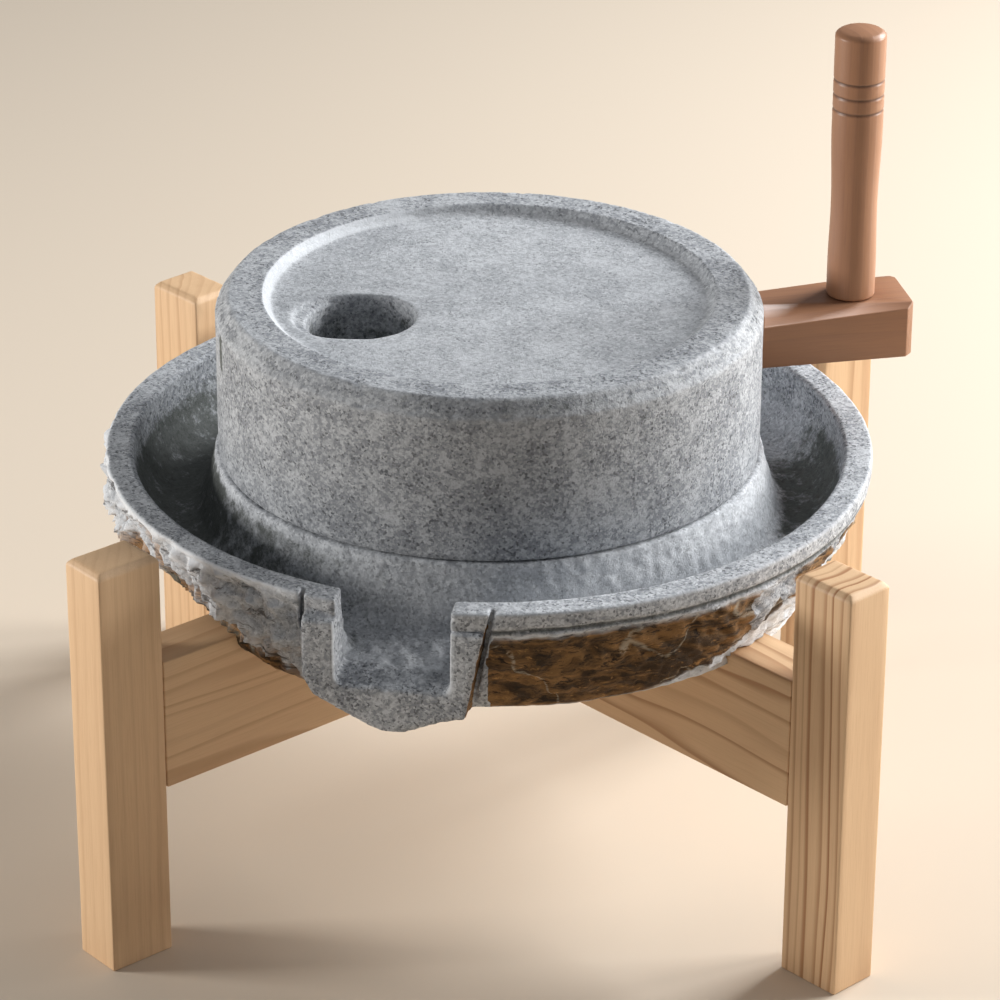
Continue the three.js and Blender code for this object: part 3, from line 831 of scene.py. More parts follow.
def side_radius(degrees, level):
    """Radius of the outside: the turned band above and the hewn side below it."""
    share = np.clip((level - UNDERSIDE) / (BAND_FOOT - UNDERSIDE), 0, 1)
    full = FOOT_RADIUS + (RIM_OUTER_RADIUS - FOOT_RADIUS) * (1 - (1 - share) ** 3)
    hewn = HOLLOW_FOOT_RADIUS + (RIM_OUTER_RADIUS - HOLLOW_FOOT_RADIUS) * share * (1.2 - 0.2 * share)
    hollow = 0
    for direction, half_width, strength in HOLLOWS:
        hollow = hollow + strength * np.exp(-((turn_between(degrees, direction) / half_width) ** 2))
    towards = np.maximum(0, np.cos(np.radians(degrees - SIDE_BULGE_ANGLE)))
    near_band = np.sin(np.pi * np.maximum(0, (share - 0.35) / 0.65))
    rough = full + (hewn - full) * hollow + SIDE_BULGE * towards * near_band
    above = level - band_bottom(degrees)
    side = rough + (RIM_OUTER_RADIUS - rough) * ease(-1.2, 1.2, above)
    groove = ease(1.5, 0.4, np.abs(above)) * (1 - chipped_side(degrees))
    return side - GROOVE_DEPTH * groove


def top_outline():
    """Section of the bed, the trough and the rim, in radius and level, closed far below."""
    outline = [
        (-50.0, BED_TOP),
        (BED_RADIUS - 0.9, BED_TOP),
        (BED_RADIUS, BED_TOP - 0.9),
        (BED_RADIUS + 1.6, BED_TOP - 8),
        (BED_RADIUS + 4.4, BED_TOP - 18),
        (FLOOR_INNER_RADIUS - 4, TROUGH_FLOOR + 3),
        (FLOOR_INNER_RADIUS, TROUGH_FLOOR),
    ]
    for turn in np.linspace(0, math.pi / 2, 14):
        outline.append(
            (
                FLOOR_OUTER_RADIUS + (RIM_INNER_RADIUS - FLOOR_OUTER_RADIUS) * math.sin(turn),
                TROUGH_FLOOR + (RIM_TOP - 1.2 - TROUGH_FLOOR) * (1 - math.cos(turn)),
            )
        )
    outline += [(RIM_INNER_RADIUS + 1.2, RIM_TOP), (300.0, RIM_TOP), (300.0, 0.0), (-50.0, 0.0)]
    return outline


def spout_distance(x, y, z):
    """The block that the spout is sawn from."""
    outline = [
        (SPOUT_LEFT, SPOUT_LEDGE),
        (SPOUT_LEFT, 153.0),
        (SPOUT_LEFT + 4.5, 143.5),
        (-17.0, 130.0),
        (-10.5, CHIN_LEVEL),
        (-3.0, CHIN_LEVEL + 0.6),
        (14.0, 135.8),
        (SPOUT_RIGHT - 8, 138.2),
        (SPOUT_RIGHT, SPOUT_LEDGE),
    ]
    front = outline_distance(x, z, outline)
    slab = np.maximum(-y - SPOUT_FRONT, y + SPOUT_BACK)
    rise = (UNDERSIDE + 3 - CHIN_LEVEL) / (SPOUT_FRONT - SPOUT_BACK)
    under = (CHIN_LEVEL + rise * (y + SPOUT_FRONT) - z) / math.hypot(1, rise)
    return common(common(front, slab, 1.6), under, 1.6)


def channel_floor(y):
    """Level of the channel's sloping floor."""
    fall = (TROUGH_FLOOR - CHANNEL_FRONT_LEVEL) / (SPOUT_FRONT - CHANNEL_START)
    return TROUGH_FLOOR + fall * (y + CHANNEL_START)


def channel_distance(x, y, z):
    """The sloping channel through the rim."""
    floor = channel_floor(y)
    walls = np.maximum(CHANNEL_LEFT - x, x - CHANNEL_RIGHT)
    return np.maximum(common(walls, floor - z, 3.0), y + CHANNEL_START - 4)


def kerf_distance(x, y, z, top, lean):
    """A saw cut beside a cheek, which leans out at the top."""
    middle = top + (z - RIM_TOP) * math.tan(math.radians(lean))
    chord = math.sqrt(RIM_OUTER_RADIUS**2 - top**2)
    return np.maximum(np.abs(x - middle) - KERF_WIDTH / 2, y + chord - KERF_DEPTH)


def shoulder_distance(x, y, z, angle):
    """Room for a rail's shoulder at the edge of the underside."""
    along, across = turned_axes(x - STAND_MIDDLE[0], y - STAND_MIDDLE[1], angle)
    half = RAIL_THICKNESS / 2 - SHOULDER_OVERLAP
    beyond = SHOULDER_RADIUS + SHOULDER_OVERLAP - along
    return np.maximum(np.maximum(beyond, np.abs(across) - half), z - SHOULDER_LEVEL + SHOULDER_OVERLAP)


def base_stone_mesh(turns, cell):
    """The base stone without its fine relief."""
    radius = graded(
        0.6,
        (BED_RADIUS - 5, 9.0),
        (BED_RADIUS + 2, cell * 0.6),
        (RIM_INNER_RADIUS - 3, cell * 1.25),
        (RIM_INNER_RADIUS + 3, cell * 0.55),
        (RIM_OUTER_RADIUS - 3, cell * 1.2),
        (RIM_OUTER_RADIUS + 3.5, cell * 0.65),
        (RIM_OUTER_RADIUS + 10, cell),
    )
    level = graded(
        CHIN_LEVEL - 4,
        (SPOUT_LEDGE - 4, cell * 1.1),
        (SPOUT_LEDGE + 3, cell * 0.6),
        (RIM_TOP - 3, cell * 1.2),
        (RIM_TOP + 2.5, cell * 0.5),
    )
    spread = np.linspace(0, 2 * math.pi, turns, endpoint=False)
    # Columns stand closer together round the spout, which is at three quarters of a turn.
    turn = spread - 0.42 * np.sin(spread - 1.5 * math.pi)
    turn = np.sort(np.mod(turn, 2 * math.pi))
    flat = outline_distance(*np.meshgrid(radius, level, indexing="ij"), top_outline())
    angle, r, z = np.meshgrid(turn, radius, level, indexing="ij")
    x, y = r * np.cos(angle), r * np.sin(angle)
    side = (r - side_radius(np.degrees(angle), z)) * 0.93
    body = common(flat[None, :, :] + 0 * r, side, 1.0)
    body = common(body, UNDERSIDE - z, 3.0)
    near = (y < -120) & (np.abs(x) < 80)
    spout = body[near]
    px, py, pz = x[near], y[near], z[near]
    spout = np.minimum(spout, spout_distance(px, py, pz))
    rough = layered_noise(np.stack([px, py, pz], axis=1), 6.5, 5, 3, 0.6)
    on_floor = 0.2 + 0.9 * ease(5.0, 1.5, pz - channel_floor(py))
    spout = without(spout, channel_distance(px, py, pz) + on_floor * rough, 1.0)
    trough = outline_distance(np.hypot(px, py), pz, top_outline())
    spout = np.maximum(spout, trough)
    left_kerf = kerf_distance(px, py, pz, SPOUT_LEFT - KERF_WIDTH / 2, 0)
    spout = np.maximum(spout, -np.maximum(left_kerf, LEFT_KERF_END - pz))
    spout = np.maximum(spout, -kerf_distance(px, py, pz, SPOUT_RIGHT + KERF_WIDTH, KERF_LEAN))
    body[near] = spout
    for name in RAIL_ANGLES:
        for side_turn in (0, math.pi):
            rail = math.radians(RAIL_ANGLES[name]) + side_turn
            body = np.maximum(body, -shoulder_distance(x, y, z, rail))
    hole = np.maximum(r - PIN_HOLE_RADIUS, PIN_HOLE_FLOOR - z)
    body = np.maximum(body, -hole)
    return net_mesh("base_stone_fine", body, turn, radius, level)


def roughen_base(mesh, depth):
    """Chisel scallops outside, pick marks inside, and the masks that the material reads."""
    corners, normals = corners_of(mesh)
    x, y, z = corners.T
    r = np.hypot(x, y)
    degrees = np.degrees(np.arctan2(y, x))
    chipped = chipped_side(degrees)
    in_block = ease(-3, -1, -spout_distance(x, y, z)) * (y < -140)
    in_channel = ease(SPOUT_BACK + 4, SPOUT_FRONT - 8, -y) * (x > SPOUT_LEFT) * (x < SPOUT_RIGHT)
    in_spout = np.maximum(in_block, in_channel)
    upright = np.hypot(normals[:, 0], normals[:, 1])
    outside = ease(-9, -4, r - side_radius(degrees, z)) * ease(0.15, 0.5, upright)
    drop = band_bottom(degrees) - z
    facing_out = ease(0.1, 0.5, (normals[:, 0] * x + normals[:, 1] * y) / np.maximum(r, 1))
    under = ease(0.5, 0.9, -normals[:, 2])
    hewn = np.maximum(outside * ease(0.8, 3.0, drop) * facing_out, under) * (1 - in_spout)

    flatter = corners * np.array([1.0, 1.0, 2.2])
    struck = 1.05 * scallops(flatter, 36, 3) + 0.55 * scallops(flatter, 15, 8)
    struck = struck + 0.22 * scallops(corners, 5, 9)
    struck += 0.30 * layered_noise(corners, 5.0, 21, 3, 0.6) - 0.95
    struck += 0.55 * chipped * layered_noise(corners, 13.0, 27, 4, 0.65)
    near_cradle = ease(2, 6, z - UNDERSIDE)
    move = hewn * depth * (1 + 0.5 * chipped) * struck * (0.2 + 0.8 * near_cradle)
    rim_edge = chipped * outside * ease(RIM_TOP - 7, RIM_TOP - 2, z) * (1 - in_spout)
    move -= 2.2 * rim_edge * np.maximum(0, layered_noise(corners, 9.0, 33, 3, 0.6) - 0.05)
    dressed = (1 - hewn) * (r > BED_RADIUS + 1)
    move += dressed * 0.16 * layered_noise(corners, 9.0, 40, 4, 0.6)
    trough = ease(RIM_INNER_RADIUS, RIM_INNER_RADIUS - 5, r) * (z > CHANNEL_FRONT_LEVEL - 3)
    move += trough * 0.5 * layered_noise(corners, 4.5, 55, 2, 0.6)
    hidden = (r < BED_RADIUS - 2) & (z > UNDERSIDE + 5)
    move[hidden] = 0
    put_corners(mesh, corners + normals * move[:, None])

    blotch = layered_noise(corners, 16.0, 70, 3, 0.6)
    side_share = (z - UNDERSIDE) / (BAND_FOOT - UNDERSIDE)
    right = stretch(degrees, RIGHT_CRUST) * ease(2.0, 4.5, drop - 1.5 * blotch)
    right *= 1 - 0.85 * stretch(degrees, BARE_PATCH) * ease(0.1, 0.5, blotch + side_share - 0.4)
    right *= 1 - 0.9 * stretch(degrees, BARE_END) * ease(-0.2, 0.3, blotch)
    facet_height = 1.0 + 27.0 * ease(-58, -18, degrees)
    facet = stretch(degrees, RIGHT_CRUST)
    facet = facet * ease(facet_height + 1, facet_height - 1, z - UNDERSIDE)
    left_top = 0.22 + 0.56 * ease(-116, -138, degrees)
    left = stretch(degrees, LEFT_CRUST) * ease(0.12, -0.12, side_share - left_top - 0.14 * blotch)
    by_kerf = 0.42 * stretch(degrees, KERF_CRUST) * ease(0.66, 0.5, side_share)
    by_kerf *= ease(0.26, 0.38, side_share)
    back = 0.7 * stretch(degrees, BACK_CRUST) * ease(-0.6, 0.1, blotch)
    in_hollows = 0.45 * chipped * ease(-0.35, -0.8, struck)
    crust = (np.maximum(right, left) + back) * (1 - facet) + np.maximum(by_kerf, in_hollows)
    cut_face = in_block * ease(0.6, 0.9, normals[:, 0]) * (x > SPOUT_RIGHT - 10)
    paint_mask(mesh, "hewn", hewn)
    paint_mask(mesh, "crust", np.clip(hewn * crust + 0.75 * cut_face, 0, 1))
    ridges = 0.45 + 0.55 * ease(-0.55, 0.15, struck)
    bare = chipped * ridges * (1 - left) + facet + ease(5.5, 2.5, drop) * (1 - chipped)
    # On the chipped side and the rim's edge these are real breaks; the share on the channel floor is painted
    # light.
    paint_mask(mesh, "fresh_and_lit", np.clip(hewn * bare + rim_edge + trough * (0.3 + 0.7 * in_channel), 0, 1))
    inner = ease(RIM_INNER_RADIUS + 1, RIM_INNER_RADIUS - 3, r) * ease(RIM_TOP - 1, RIM_TOP - 9, z)
    runner_shadow_share = ease(BED_RADIUS + 34, BED_RADIUS + 6, r)
    # Painted shadow: the trough is darker at the left and the front left, most beside the runner, where the
    # runner's shadow falls; the right patch and the even share are real stains.
    left_shadow = stretch(degrees, LEFT_PAINTED_SHADOW) * (0.55 + 0.6 * runner_shadow_share)
    front_shadow = 0.5 * stretch(degrees, FRONT_PAINTED_SHADOW)
    right_pool = 0.75 * stretch(degrees, RIGHT_POOL) * ease(BED_RADIUS + 6, BED_RADIUS + 14, r)
    stains_and_shadow = (0.2 + left_shadow + front_shadow + right_pool) * (1 - in_channel)
    damp_and_shade = inner * np.maximum(stains_and_shadow, 0.34 * in_channel)
    paint_mask(mesh, "damp_and_shade", np.clip(damp_and_shade, 0, 1))
    edge = ease(1.6, 0.4, np.abs(r - RIM_OUTER_RADIUS)) * ease(RIM_TOP - 2.2, RIM_TOP - 0.6, z)
    cheek = ease(1.6, 0.3, np.minimum(np.abs(x - CHANNEL_LEFT), np.abs(x - CHANNEL_RIGHT)))
    cheek = cheek * ease(SPOUT_FRONT - 2.5, SPOUT_FRONT - 0.6, -y) * ease(CHANNEL_FRONT_LEVEL, 152, z)
    slope = 0.35 * stretch(degrees, WORN_SLOPE) * ease(BED_RADIUS + 12, BED_RADIUS + 2, r)
    slope *= ease(RUNNER_BOTTOM, RUNNER_BOTTOM - 3, z)
    paint_mask(mesh, "wear_and_highlight", np.clip(0.5 * edge + cheek + slope, 0, 1))
    # Painted shade: a dark line along the groove under the turned band, where the stone is not chipped.
    line = ease(1.3, 0.5, np.abs(drop)) * (1 - chipped) * outside * (1 - in_spout)
    paint_mask(mesh, "groove_shade", np.clip(line, 0, 1))


# ---- The runner's shape ----------------------------------------------------------------------------------
def runner_outline():
    """Section of the runner, in radius and level."""
    outer = RUNNER_RADIUS
    return [
        (-50.0, RUNNER_BOTTOM),
        (outer - 1.2, RUNNER_BOTTOM),
        (outer, RUNNER_BOTTOM + 1.5),
        (outer, BEVEL_FOOT - 0.6),
        (outer - 0.4, BEVEL_FOOT + 0.2),
        (outer - BEVEL_WIDTH, RUNNER_TOP - 0.8),
        (outer - BEVEL_WIDTH - 1.2, RUNNER_TOP),
        (DISH_RADIUS + 0.3, RUNNER_TOP),
        (DISH_RADIUS - 0.3, RUNNER_TOP - 0.4),
        (DISH_RADIUS - 2.2, RUNNER_TOP - 0.6 * DISH_DEPTH),
        (DISH_RADIUS - 4.2, RUNNER_TOP - 0.9 * DISH_DEPTH),
        (DISH_RADIUS - DISH_COVE, DISH_FLOOR),
        (-50.0, DISH_FLOOR),
    ]


def runner_mesh(turns, cell):
    """The runner with its dish, feed hole, mortise and socket."""
    radius = graded(
        0.6,
        (RUNNER_RADIUS - ARM_LET_IN - 60, cell * 1.8),
        (RUNNER_RADIUS - ARM_LET_IN + 3, cell),
        (DISH_RADIUS - DISH_COVE - 1, cell),
        (DISH_RADIUS + 2, cell * 0.5),
        (RUNNER_RADIUS - BEVEL_WIDTH - 3, cell * 1.2),
        (RUNNER_RADIUS + 2.5, cell * 0.5),
    )
    level = graded(
        RUNNER_BOTTOM - 2,
        (RUNNER_BOTTOM + 3, cell * 0.7),
        (BEVEL_FOOT - 3, cell * 1.35),
        (RUNNER_TOP + 2, cell * 0.45),
    )
    turn = np.linspace(0, 2 * math.pi, turns, endpoint=False)
    flat = outline_distance(*np.meshgrid(radius, level, indexing="ij"), runner_outline())
    angle, r, z = np.meshgrid(turn, radius, level, indexing="ij")
    x, y = r * np.cos(angle), r * np.sin(angle)
    body = flat[None, :, :] + 0 * r
    hole = np.hypot(x - FEED_HOLE_X, y - FEED_HOLE_Y) - FEED_HOLE_RADIUS
    body = without(body, hole, 1.6)
    lip_x = FEED_HOLE_X + WORN_LIP_SHIFT[0]
    lip_y = FEED_HOLE_Y + WORN_LIP_SHIFT[1]
    lip_depth = DISH_FLOOR - WORN_LIP_DEPTH - z
    lip = common(np.hypot(x - lip_x, y - lip_y) - FEED_HOLE_RADIUS + 1, lip_depth, 3.0)
    body = without(body, lip, 2.2)
    along, across = turned_axes(x, y, CRANK_ANGLE)
    mortise = np.maximum(np.abs(across) - ARM_WIDTH / 2 - GAP, RUNNER_RADIUS - ARM_LET_IN - GAP - along)
    mortise = np.maximum(mortise, np.maximum(ARM_LOW[2] - GAP - z, z - ARM_HIGH[2] - GAP))
    body = np.maximum(body, -mortise)
    socket = np.maximum(r - SOCKET_RADIUS, z - SOCKET_TOP)
    body = np.maximum(body, -socket)
    return net_mesh("runner_stone_fine", body, turn, radius, level)


def roughen_runner(mesh):
    """Fine pick marks, nicks along the top edges, and the masks that the material reads."""
    corners, normals = corners_of(mesh)
    x, y, z = corners.T
    r = np.hypot(x, y)
    seen = ease(RUNNER_BOTTOM + 1, RUNNER_BOTTOM + 3, z)
    along, across = turned_axes(x, y, CRANK_ANGLE)
    at_arm = (np.abs(across) < ARM_WIDTH / 2 + 4) & (along > RUNNER_RADIUS - ARM_LET_IN - 5)
    at_arm &= (z > ARM_LOW[2] - 4) & (z < ARM_HIGH[2] + 4)
    seen = seen * ~at_arm
    move = 0.13 * layered_noise(corners, 8.0, 11, 4, 0.6)
    on_edge = np.maximum(
        ease(4, 1, np.hypot(r - (RUNNER_RADIUS - 1), z - (BEVEL_FOOT))),
        ease(4, 1, np.hypot(r - (RUNNER_RADIUS - BEVEL_WIDTH), z - (RUNNER_TOP - 0.6))),
    )
    nicks = np.maximum(0, layered_noise(corners, 5.0, 90, 2, 0.5) - 0.28)
    move -= 1.5 * on_edge * nicks
    put_corners(mesh, corners + normals * (move * seen)[:, None])
    degrees = np.degrees(np.arctan2(y, x))
    on_drum = r > RUNNER_RADIUS - 3
    foot = ease(RUNNER_BOTTOM + 4, RUNNER_BOTTOM + 0.5, z) * on_drum
    scar = stretch(degrees, SCAR) * on_drum
    scar = scar * ease(RUNNER_TOP - 8, RUNNER_TOP - 11, z) * ease(RUNNER_TOP - 30, RUNNER_TOP - 25, z)
    from_hole = np.hypot(x - FEED_HOLE_X, y - FEED_HOLE_Y)
    in_hole = ease(FEED_HOLE_RADIUS + 1.5, FEED_HOLE_RADIUS + 0.5, from_hole)
    in_hole = in_hole * ease(DISH_FLOOR - 2, DISH_FLOOR - 12, z)
    on_bevel = ease(BEVEL_FOOT, BEVEL_FOOT + 1.2, z) * (r > RUNNER_RADIUS - BEVEL_WIDTH)
    # Darker at the drum's foot, inside the feed hole, on the bevel and along one scar.
    paint_mask(mesh, "damp_and_shade", np.clip(0.35 * foot + 0.5 * in_hole + 0.3 * on_bevel + scar, 0, 1))
    # Painted highlight: a bright line along the dish's inner slope, strongest on the left, where light from
    # the right strikes it; the lighter dish floor and top edges are wear.
    cove_highlight = ease(4, 1.5, np.abs(r - (DISH_RADIUS - 1.5))) * ease(RUNNER_TOP - 5.2, RUNNER_TOP - 4, z)
    cove_highlight = cove_highlight * ease(RUNNER_TOP - 0.1, RUNNER_TOP - 0.5, z)
    left = 0.15 + 0.85 * stretch(degrees, COVE_HIGHLIGHT)
    dish = 0.34 * ease(DISH_RADIUS - 1, DISH_RADIUS - 5, r) * ease(DISH_FLOOR - 3, DISH_FLOOR, z)
    paint_mask(mesh, "wear_and_highlight", np.clip(0.9 * cove_highlight * left + dish + 0.25 * on_edge, 0, 1))


# ---- Wooden pieces ---------------------------------------------------------------------------------------
def cad_copy(node, name, edge):
    """A copy of a CAD node's mesh with its corners merged and its sharp edges eased."""
    bm = bmesh.new()
    bm.from_mesh(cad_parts[node].data)
    bmesh.ops.remove_doubles(bm, verts=bm.verts, dist=0.00002)
    bmesh.ops.dissolve_limit(bm, angle_limit=math.radians(1), verts=bm.verts, edges=bm.edges)
    sharp = [e for e in bm.edges if e.is_manifold and e.calc_face_angle_signed() > math.radians(25)]
    bmesh.ops.bevel(
        bm, geom=sharp, offset=edge, segments=3, profile=0.5, affect="EDGES", clamp_overlap=True
    )
    bmesh.ops.triangulate(bm, faces=[f for f in bm.faces if len(f.verts) > 4])
    bmesh.ops.recalc_face_normals(bm, faces=bm.faces)
    mesh = bpy.data.meshes.new(name)
    bm.to_mesh(mesh)
    bm.free()
    return mesh


def close_shoulders(mesh, angle):
    """Moves a rail's shoulders in under the stone, which is hewn back above them."""
    along = np.array([math.cos(angle), math.sin(angle)])
    corners = corners_of(mesh)[0]
    reach = (corners[:, :2] - STAND_MIDDLE) @ along
    at_shoulder = np.abs(np.abs(reach) - SHOULDER_RADIUS) < 2
    at_shoulder &= corners[:, 2] > SHOULDER_LEVEL - SHOULDER_HEIGHT
    shift = np.where(at_shoulder, -np.sign(reach) * SHOULDER_SHIFT, 0)
    corners[:, :2] += shift[:, None] * along
    put_corners(mesh, corners)


def timber_tree():
    """Sawn timber: finer faces, a slight wander of its faces and dents along its edges."""
    name = "Sawn Timber"
    if name in bpy.data.node_groups:
        return bpy.data.node_groups[name]
    group, tree, given, result = new_group(
        name,
        "GeometryNodeTree",
        [
            ("Geometry", "Geometry"),
            ("Cuts", "Int", 4),
            ("Wander", "Float", 0.00018),
            ("Dent", "Float", 0.0004),
            ("Seed", "Float", 0.0),
            ("Material", "Material"),
        ],
        [("Geometry", "Geometry")],
    )
    finer = tree.add("GeometryNodeSubdivideMesh", {"Mesh": given["Geometry"], "Level": given["Cuts"]})
    place = tree.add("GeometryNodeInputPosition").outputs[0]
    inputs = {"Vector": place, "W": given["Seed"], "Scale": 22.0, "Detail": 2.0}
    slow = tree.add("ShaderNodeTexNoise", inputs, noise_dimensions="4D").outputs["Fac"]
    inputs = {"Vector": place, "W": given["Seed"], "Scale": 130.0, "Detail": 3.0}
    quick = tree.add("ShaderNodeTexNoise", inputs, noise_dimensions="4D").outputs["Fac"]
    wander = tree.times(tree.minus(slow, 0.5), given["Wander"])
    dent = tree.times(tree.minus(quick, 0.64), given["Dent"])
    dent = tree.math("MAXIMUM", tree.times(dent, 6.0), 0.0)
    depth = tree.minus(wander, dent)
    normal = tree.add("GeometryNodeInputNormal").outputs[0]
    offset = tree.vector("SCALE", normal, scale=depth)
    moved = tree.add("GeometryNodeSetPosition", {"Geometry": finer.outputs[0], "Offset": offset})
    whole = tree.add("GeometryNodeRealizeInstances", {"Geometry": moved.outputs[0]})
    painted = tree.add(
        "GeometryNodeSetMaterial", {"Geometry": whole.outputs[0], "Material": given["Material"]}
    )
    tree.feed(result.inputs["Geometry"], painted.outputs[0])
    return group


def grip_tree():
    """A turned grip: a profile round an upright axis, with rings burnt in at even steps."""
    name = "Turned Grip"
    if name in bpy.data.node_groups:
        return bpy.data.node_groups[name]
    group, tree, given, result = new_group(
        name,
        "GeometryNodeTree",
        [
            ("Geometry", "Geometry"),
            ("Axis", "Vector", (0.0, 0.0, 0.0)),
            ("Height", "Float", GRIP_HEIGHT * MM),
            ("Foot Radius", "Float", 0.0112),
            ("Waist Radius", "Float", 0.0107),
            ("Head Radius", "Float", 0.0117),
            ("End Chamfer", "Float", 0.0026),
            ("First Ring", "Float", GRIP_RINGS[0] * MM),
            ("Ring Spacing", "Float", (GRIP_RINGS[2] - GRIP_RINGS[0]) / 2 * MM),
            ("Ring Depth", "Float", 0.0005),
            ("Ring Width", "Float", 0.0009),
            ("Material", "Material"),
        ],
        [("Geometry", "Geometry")],
    )
    inputs = {"Vertices X": GRIP_COLUMNS, "Vertices Y": GRIP_ROWS, "Size X": 1.0, "Size Y": 1.0}
    sheet = tree.add("GeometryNodeMeshGrid", inputs)
    place = tree.add("ShaderNodeSeparateXYZ", {0: tree.add("GeometryNodeInputPosition").outputs[0]})
    angle = tree.times(place.outputs[0], 2 * math.pi)
    share = tree.math("ADD", place.outputs[1], 0.5)
    # The first and last rows close the ends: they lie on the axis.
    last_row = GRIP_ROWS - 1.0
    rows = tree.times(share, last_row)
    in_first = tree.math("LESS_THAN", rows, 0.5)
    in_last = tree.math("GREATER_THAN", rows, last_row - 0.5)
    on_axis = tree.math("MAXIMUM", in_first, in_last)
    inputs = {"Value": rows, "From Min": 1.0, "From Max": last_row - 1, "To Max": given["Height"]}
    height = tree.add("ShaderNodeMapRange", inputs).outputs["Result"]
    up = tree.math("DIVIDE", height, given["Height"])
    to_waist = tree.between(up, 0.12, 0.33)
    to_head = tree.between(up, 0.36, 0.64)
    radius = given["Foot Radius"]
    for share_of_way, next_radius in ((to_waist, given["Waist Radius"]), (to_head, given["Head Radius"])):
        inputs = {"Factor": share_of_way, "A": radius, "B": next_radius}
        radius = tree.add("ShaderNodeMix", inputs).outputs[0]
    from_top = tree.minus(given["Height"], height)
    for distance, share_of_cut in ((height, 0.35), (from_top, 1.0)):
        cut = tree.times(given["End Chamfer"], share_of_cut)
        short = tree.math("SUBTRACT", 1.0, tree.math("DIVIDE", distance, cut), clamp=True)
        curve = tree.times(tree.math("POWER", short, 2.0), cut)
        radius = tree.minus(radius, curve)
    groove = 0.0
    for ring in range(len(GRIP_RINGS)):
        middle = tree.times_plus(given["Ring Spacing"], float(ring), given["First Ring"])
        off = tree.math("ABSOLUTE", tree.minus(height, middle))
        depth = tree.math("SUBTRACT", 1.0, tree.math("DIVIDE", off, given["Ring Width"]), clamp=True)
        groove = depth if ring == 0 else tree.math("MAXIMUM", groove, depth)
    radius = tree.minus(radius, tree.times(groove, given["Ring Depth"]))
    radius = tree.times(radius, tree.minus(1.0, on_axis))
    turned = tree.add(
        "ShaderNodeCombineXYZ",
        {
            0: tree.times(radius, tree.math("COSINE", angle)),
            1: tree.times(radius, tree.math("SINE", angle)),
            2: height,
        },
    ).outputs[0]
    burnt = tree.add(
        "GeometryNodeStoreNamedAttribute",
        {"Geometry": sheet.outputs["Mesh"], "Name": "burnt", "Value": groove},
        data_type="FLOAT",
        domain="POINT",
    )
    placed = tree.add(
        "GeometryNodeSetPosition",
        {"Geometry": burnt.outputs[0], "Position": tree.vector("ADD", turned, given["Axis"])},
    )
    merged = tree.add("GeometryNodeMergeByDistance", {"Geometry": placed.outputs[0], "Distance": 0.000001})
    whole = tree.add("GeometryNodeRealizeInstances", {"Geometry": merged.outputs[0]})
    painted = tree.add(
        "GeometryNodeSetMaterial", {"Geometry": whole.outputs[0], "Material": given["Material"]}
    )
    tree.feed(result.inputs["Geometry"], painted.outputs[0])
    return group


def run_tree(mesh, name, group, values):
    """Runs a geometry node tree on a mesh with its inputs set, and returns the plain mesh that it makes."""
    holder = bpy.data.objects.new(name + "_holder", mesh)
    bpy.context.scene.collection.objects.link(holder)
    modifier = holder.modifiers.new("tree", "NODES")
    modifier.node_group = group
    for item in group.interface.items_tree:
        if item.in_out == "INPUT" and item.name in values:
            modifier[item.identifier] = values[item.name]
    evaluated = holder.evaluated_get(bpy.context.evaluated_depsgraph_get())
    made = bpy.data.meshes.new_from_object(evaluated)
    made.name = name
    bpy.data.objects.remove(holder)
    return made


def face_outwards(mesh):
    bm = bmesh.new()
    bm.from_mesh(mesh)
    bmesh.ops.recalc_face_normals(bm, faces=bm.faces)
    bm.to_mesh(mesh)
    bm.free()


# ---- Operators -------------------------------------------------------------------------------------------
class MILL_OT_base_stone(bpy.types.Operator):
    """Make the base stone with its trough, spout and rough-hewn outside."""

    bl_idname = "mill.base_stone"
    bl_label = "Base Stone"

    def execute(self, context):
        stone = context.scene.mill_stone
        mesh = base_stone_mesh(stone.base_turns, stone.cell / MM)
        roughen_base(mesh, stone.hewn_depth / MM)
        material = granite_material("base_granite", 0.20, 1.0, True)
        add_piece(mesh, "base_stone_fine", material, "base_granite", "base", "base_stone")
        return {"FINISHED"}


class MILL_OT_runner_stone(bpy.types.Operator):
    """Make the runner stone with its dish, feed hole and mortise."""

    bl_idname = "mill.runner_stone"
    bl_label = "Runner Stone"

    def execute(self, context):
        stone = context.scene.mill_stone
        mesh = runner_mesh(stone.runner_turns, stone.cell / MM)
        roughen_runner(mesh)
        material = granite_material("runner_granite", 0.17, 0.88, False)
        add_piece(mesh, "runner_stone_fine", material, "runner_granite", "runner", "runner_stone")
        return {"FINISHED"}


class MILL_OT_centre_pin(bpy.types.Operator):
    """Make the iron pin that the runner turns on."""

    bl_idname = "mill.centre_pin"
    bl_label = "Centre Pin"

    def execute(self, context):
        mesh = cad_copy("centre_pin", "centre_pin_fine", 0.0006)
        add_piece(mesh, "centre_pin_fine", iron_material(), "pin_iron", "base", "centre_pin")
        return {"FINISHED"}


